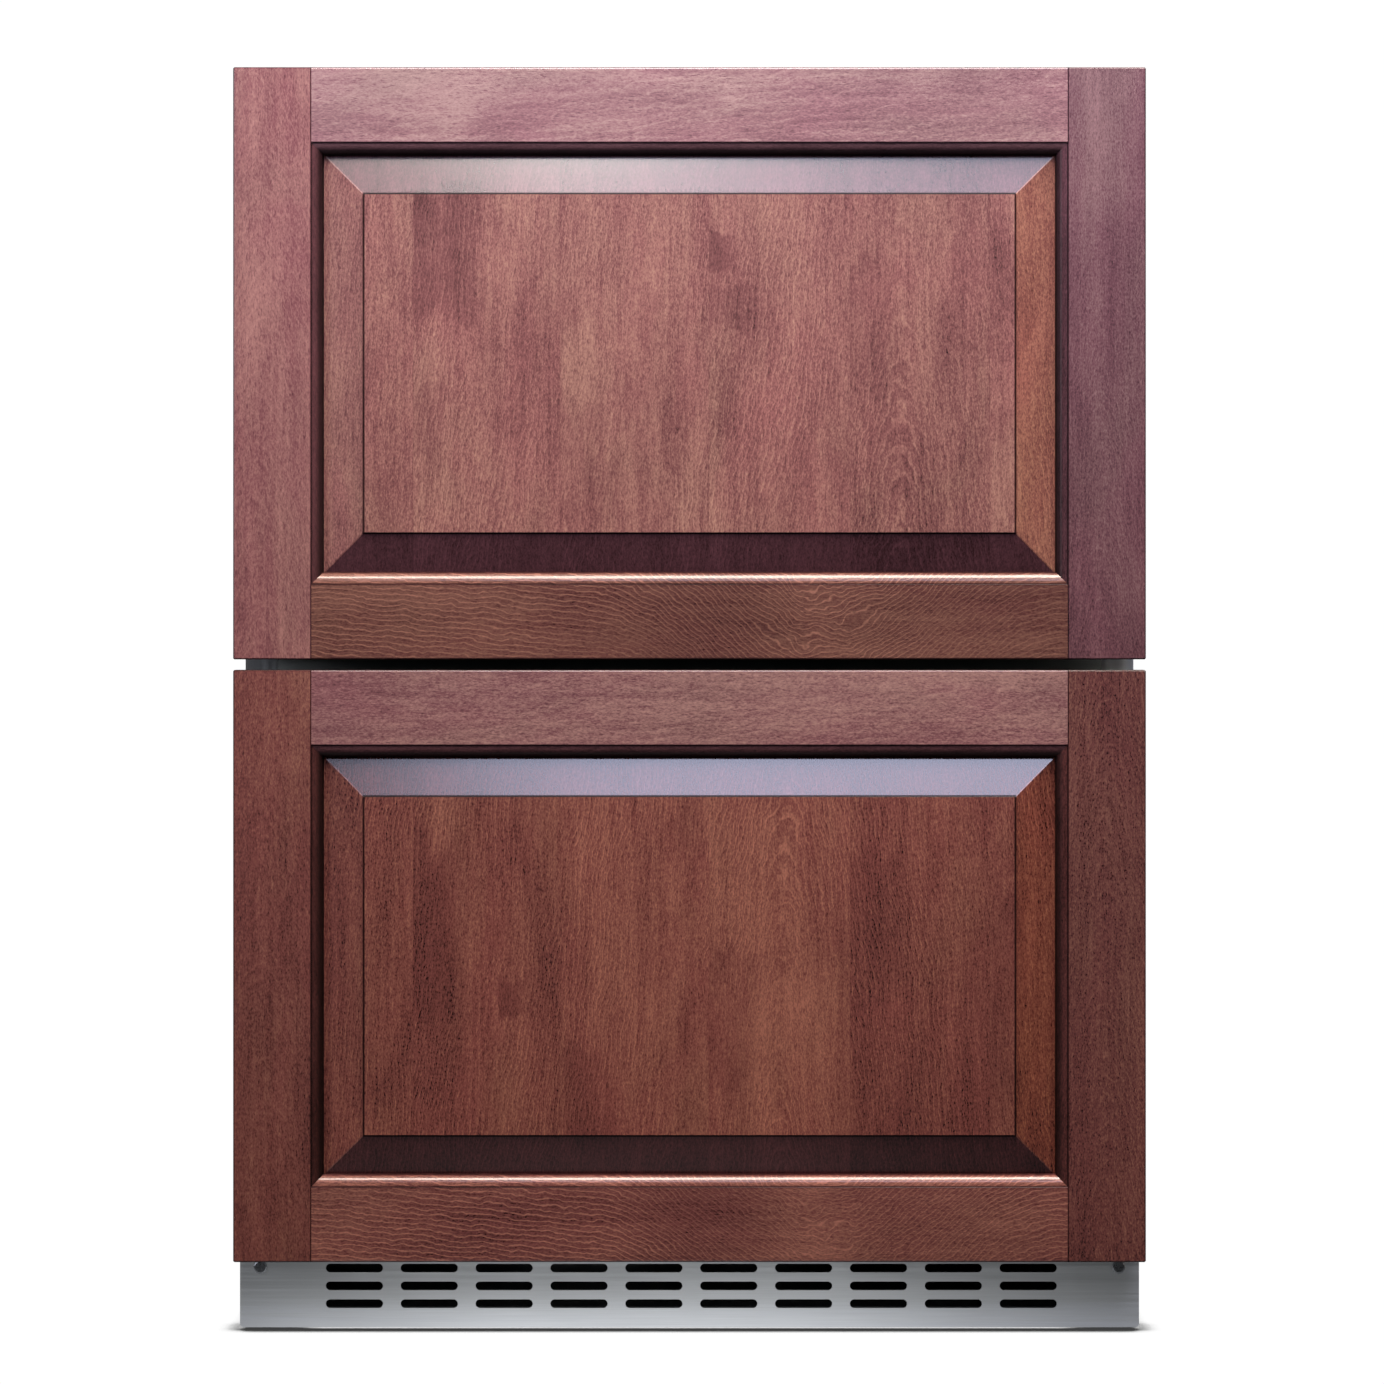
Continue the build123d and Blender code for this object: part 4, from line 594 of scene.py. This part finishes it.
cabinet_steel = brushed("cabinet_steel", colour(196, 198, 200), 0.34, 2, painted=colour(54, 55, 57))
paint(["cabinet_shell", "underbody_sheet"], cabinet_steel)
paint(["kick_plate"], brushed("kick_stainless", colour(190, 193, 196), 0.36, 0))
paint(each("drawer_box"), brushed("box_stainless", colour(156, 158, 160), 0.34, 1))
door_steel = brushed("door_steel", colour(164, 166, 168), 0.36, 2, painted=colour(60, 61, 63))
paint(each("door_pan"), door_steel)
paint(["back_panel", "rear_cover"], galvanised("galvanised_steel"))
# painted shade: the base pan is made near black so what shows through the kick plate's slots stays dark
paint(["base_pan"], moulded("pan_shade_dark", colour(40, 41, 43), 0.5, 600.0))
slide_steel = metal("slide_steel", colour(160, 162, 164), 0.32, scale=45.0)
paint(["cabinet_slide_rails"] + each("box_rails", "middle_rails"), slide_steel)
screw_steel = metal("screw_steel", colour(112, 114, 118), 0.28, scale=160.0)
paint(["casing_screws"] + each("panel_screws"), screw_steel)
feet = [n for n in nodes if n.startswith("foot_")]
paint(feet, metal("foot_steel", colour(170, 172, 174), 0.36, scale=80.0))
paint(["compressor"], moulded("compressor_black", colour(24, 24, 26), 0.34, 420.0, 0.00006, coat=0.4))
motor_metal = metal("motor_metal", colour(150, 152, 154), 0.42)
paint(["condenser_fan_motor", "evaporator_fan_motor"], motor_metal)
paint(["condenser_coil", "evaporator_coil"], metal("coil_metal", colour(196, 198, 198), 0.38, scale=70.0))
paint(["refrigerant_lines"], metal("copper", colour(196, 122, 88), 0.3, stain=0.4, scale=55.0))
paint(["inner_liner"], moulded("liner_plastic", colour(192, 194, 194), 0.34, 700.0, dust=0.02))
paint(each("door_liner"), moulded("door_liner_plastic", colour(190, 192, 192), 0.36, 700.0, dust=0.02))
# painted light: the bar's front is a dark strip, lightened to grey so the shaded gap between the fronts
# isn't black
paint(["mullion_bar"], moulded("mullion_lightened_grey", colour(120, 124, 122), 0.5, 800.0))
black_parts = ["condenser_fan_shroud", "terminal_cover", "evaporation_tray", "power_gland"]
paint(black_parts, moulded("black_plastic", colour(30, 30, 31), 0.42, 800.0))
paint([n for n in nodes if n.endswith("fan_blades")], moulded("fan_plastic", colour(42, 43, 45), 0.38))
paint(["interior_lamp"], lamp("lamp_plastic"))
paint(["evaporator_cover"], moulded("control_plastic", colour(182, 184, 184), 0.4, 700.0, dust=0.02))
housing_plastic = moulded("control_housing_plastic", colour(170, 172, 172), 0.4, 700.0, dust=0.02)
paint(["control_housing"], housing_plastic)
paint([n for n in nodes if n.startswith("key_")], moulded("key_plastic", colour(58, 60, 64), 0.5))
paint(["compressor_grommets"], moulded("black_rubber", colour(26, 26, 26), 0.62, 500.0, 0.00008))
paint(each("door_gasket"), moulded("gasket_rubber", colour(62, 62, 64), 0.55, 500.0, 0.00006))
paint(["foam_insulation"] + each("door_foam"), foam("foam"))


# ---- Studio --------------------------------------------------------------------------------------
WHITE = 1.02  # strength that the camera sees as plain white


def floor_shader():
    """Pale studio floor with a painted contact shadow, and a glow in front of the kick plate painted for
    reflections only; what else it gives back to the object is dim, so undersides stay dark.
    """
    s = Shader("studio_floor", roughness=0.9)
    close = s.add("ShaderNodeAmbientOcclusion", samples=8)
    close.inputs["Distance"].default_value = 0.018
    cloud = s.noise(s.place, 2.0, 3.0, 0.5)
    white = s.add("ShaderNodeEmission")
    # painted contact shadow: ambient occlusion darkens the white the camera sees near the object
    contact_shadow = s.spread(close.outputs["AO"], 0.50, 0.97, 0.05, 1.0)
    s.feed(white.inputs["Color"], s.tint((1.0, 1.0, 1.0, 1.0), contact_shadow))
    white.inputs["Strength"].default_value = WHITE
    s.set("Base Color", s.tint((0.07, 0.07, 0.072, 1.0), s.spread(cloud, 0.3, 0.7, 0.97, 1.03)))
    path = s.add("ShaderNodeLightPath")
    x, y, z = s.axes()
    # painted light: a glow on the floor that only glossy rays see, brightest in front of the kick plate,
    # for the kick plate to reflect
    glow_for_reflections = s.add("ShaderNodeEmission")
    glow_for_reflections.inputs["Color"].default_value = (1.0, 1.0, 1.0, 1.0)
    middle = s.spread(s.distance(x, -0.04), 0.02, 0.37, 1.13, 0.32)
    s.feed(glow_for_reflections.inputs["Strength"], s.times(s.spread(y, -0.60, -0.28, 0.02, 1.5), middle))
    glossy = s.add("ShaderNodeMixShader")
    s.feed(glossy.inputs[0], path.outputs["Is Glossy Ray"])
    s.feed(glossy.inputs[1], s.surface.outputs[0])
    s.feed(glossy.inputs[2], glow_for_reflections.outputs[0])
    choose = s.add("ShaderNodeMixShader")
    s.feed(choose.inputs[0], path.outputs["Is Camera Ray"])
    s.feed(choose.inputs[1], glossy.outputs[0])
    s.feed(choose.inputs[2], white.outputs[0])
    s.feed(s.tree.nodes["Material Output"].inputs["Surface"], choose.outputs[0])
    return s.material


def studio_floor(half=30.0):
    data = bpy.data.meshes.new("studio_floor")
    corners = [(-half, -half, 0), (half, -half, 0), (half, half, 0), (-half, half, 0)]
    data.from_pydata(corners, [], [(0, 1, 2, 3)])
    data.materials.append(floor_shader())
    thing = bpy.data.objects.new("studio_floor", data)
    bpy.context.scene.collection.objects.link(thing)


def studio_world():
    """White to the camera, dim grey to everything else."""
    world = bpy.data.worlds.new("studio")
    world.use_nodes = True
    tree = world.node_tree
    tree.nodes.clear()
    path = tree.nodes.new("ShaderNodeLightPath")
    choose = tree.nodes.new("ShaderNodeMixShader")
    out = tree.nodes.new("ShaderNodeOutputWorld")
    dim = tree.nodes.new("ShaderNodeBackground")
    dim.inputs["Color"].default_value = (0.86, 0.90, 1.0, 1.0)
    dim.inputs["Strength"].default_value = 0.02
    white = tree.nodes.new("ShaderNodeBackground")
    white.inputs["Strength"].default_value = WHITE
    white.inputs["Color"].default_value = (1.0, 1.0, 1.0, 1.0)
    tree.links.new(path.outputs["Is Camera Ray"], choose.inputs[0])
    tree.links.new(dim.outputs[0], choose.inputs[1])
    tree.links.new(white.outputs[0], choose.inputs[2])
    tree.links.new(choose.outputs[0], out.inputs["Surface"])
    bpy.context.scene.world = world


def softbox(name, place, target, size, power, tint):
    light = bpy.data.lights.new(name, "AREA")
    light.shape = "RECTANGLE"
    light.size, light.size_y = size
    light.energy = power
    light.color = tint
    thing = bpy.data.objects.new(name, light)
    thing.location = place
    aim = Vector(target) - Vector(place)
    thing.rotation_euler = aim.to_track_quat("-Z", "Y").to_euler()
    thing.visible_camera = False
    bpy.context.scene.collection.objects.link(thing)


def camera(place, lens, shift):
    data = bpy.data.cameras.new("camera")
    data.lens = lens
    data.sensor_width = 36.0
    data.shift_x, data.shift_y = shift
    data.clip_end = 100.0
    thing = bpy.data.objects.new("camera", data)
    thing.location = place
    thing.rotation_euler = (math.pi / 2, 0, 0)
    bpy.context.scene.collection.objects.link(thing)
    bpy.context.scene.camera = thing


studio_floor()
studio_world()
# name, place, target, size, power, colour
softbox("overhead", (0.4, -0.66, 1.95), (0.05, -0.35, 0.5), (2.4, 0.75), 290, (1.0, 0.91, 0.82))
softbox("high_panel", (0.60, -2.7, 2.55), (0.0, -0.3, 0.7), (1.6, 0.5), 16, (0.70, 0.76, 1.0))
softbox("front_panel", (0.45, -2.7, 1.80), (0.0, -0.3, 0.5), (1.5, 0.5), 34, (0.70, 0.74, 1.0))
softbox("left", (-1.9, -1.6, 1.25), (0.0, -0.3, 0.5), (0.7, 1.5), 35, (0.90, 0.90, 1.0))
softbox("right", (2.1, -1.3, 0.8), (0.0, -0.3, 0.4), (0.6, 1.2), 3, (1.0, 0.85, 0.7))
softbox("right_side", (3.0, 0.5, 1.3), (0.0, 0.1, 0.4), (1.4, 1.4), 45, (1.0, 0.98, 0.96))
softbox("left_side", (-3.0, 0.5, 1.3), (0.0, 0.1, 0.4), (1.4, 1.4), 45, (0.97, 0.98, 1.0))
softbox("behind", (0.3, 2.6, 2.4), (0.0, 0.3, 0.4), (2.0, 1.4), 60, (1.0, 0.98, 0.96))
camera(place=(0.0, -4.405, 0.47), lens=163.1, shift=(0.0018, -0.0515))
bpy.context.scene.view_settings.view_transform = "Standard"
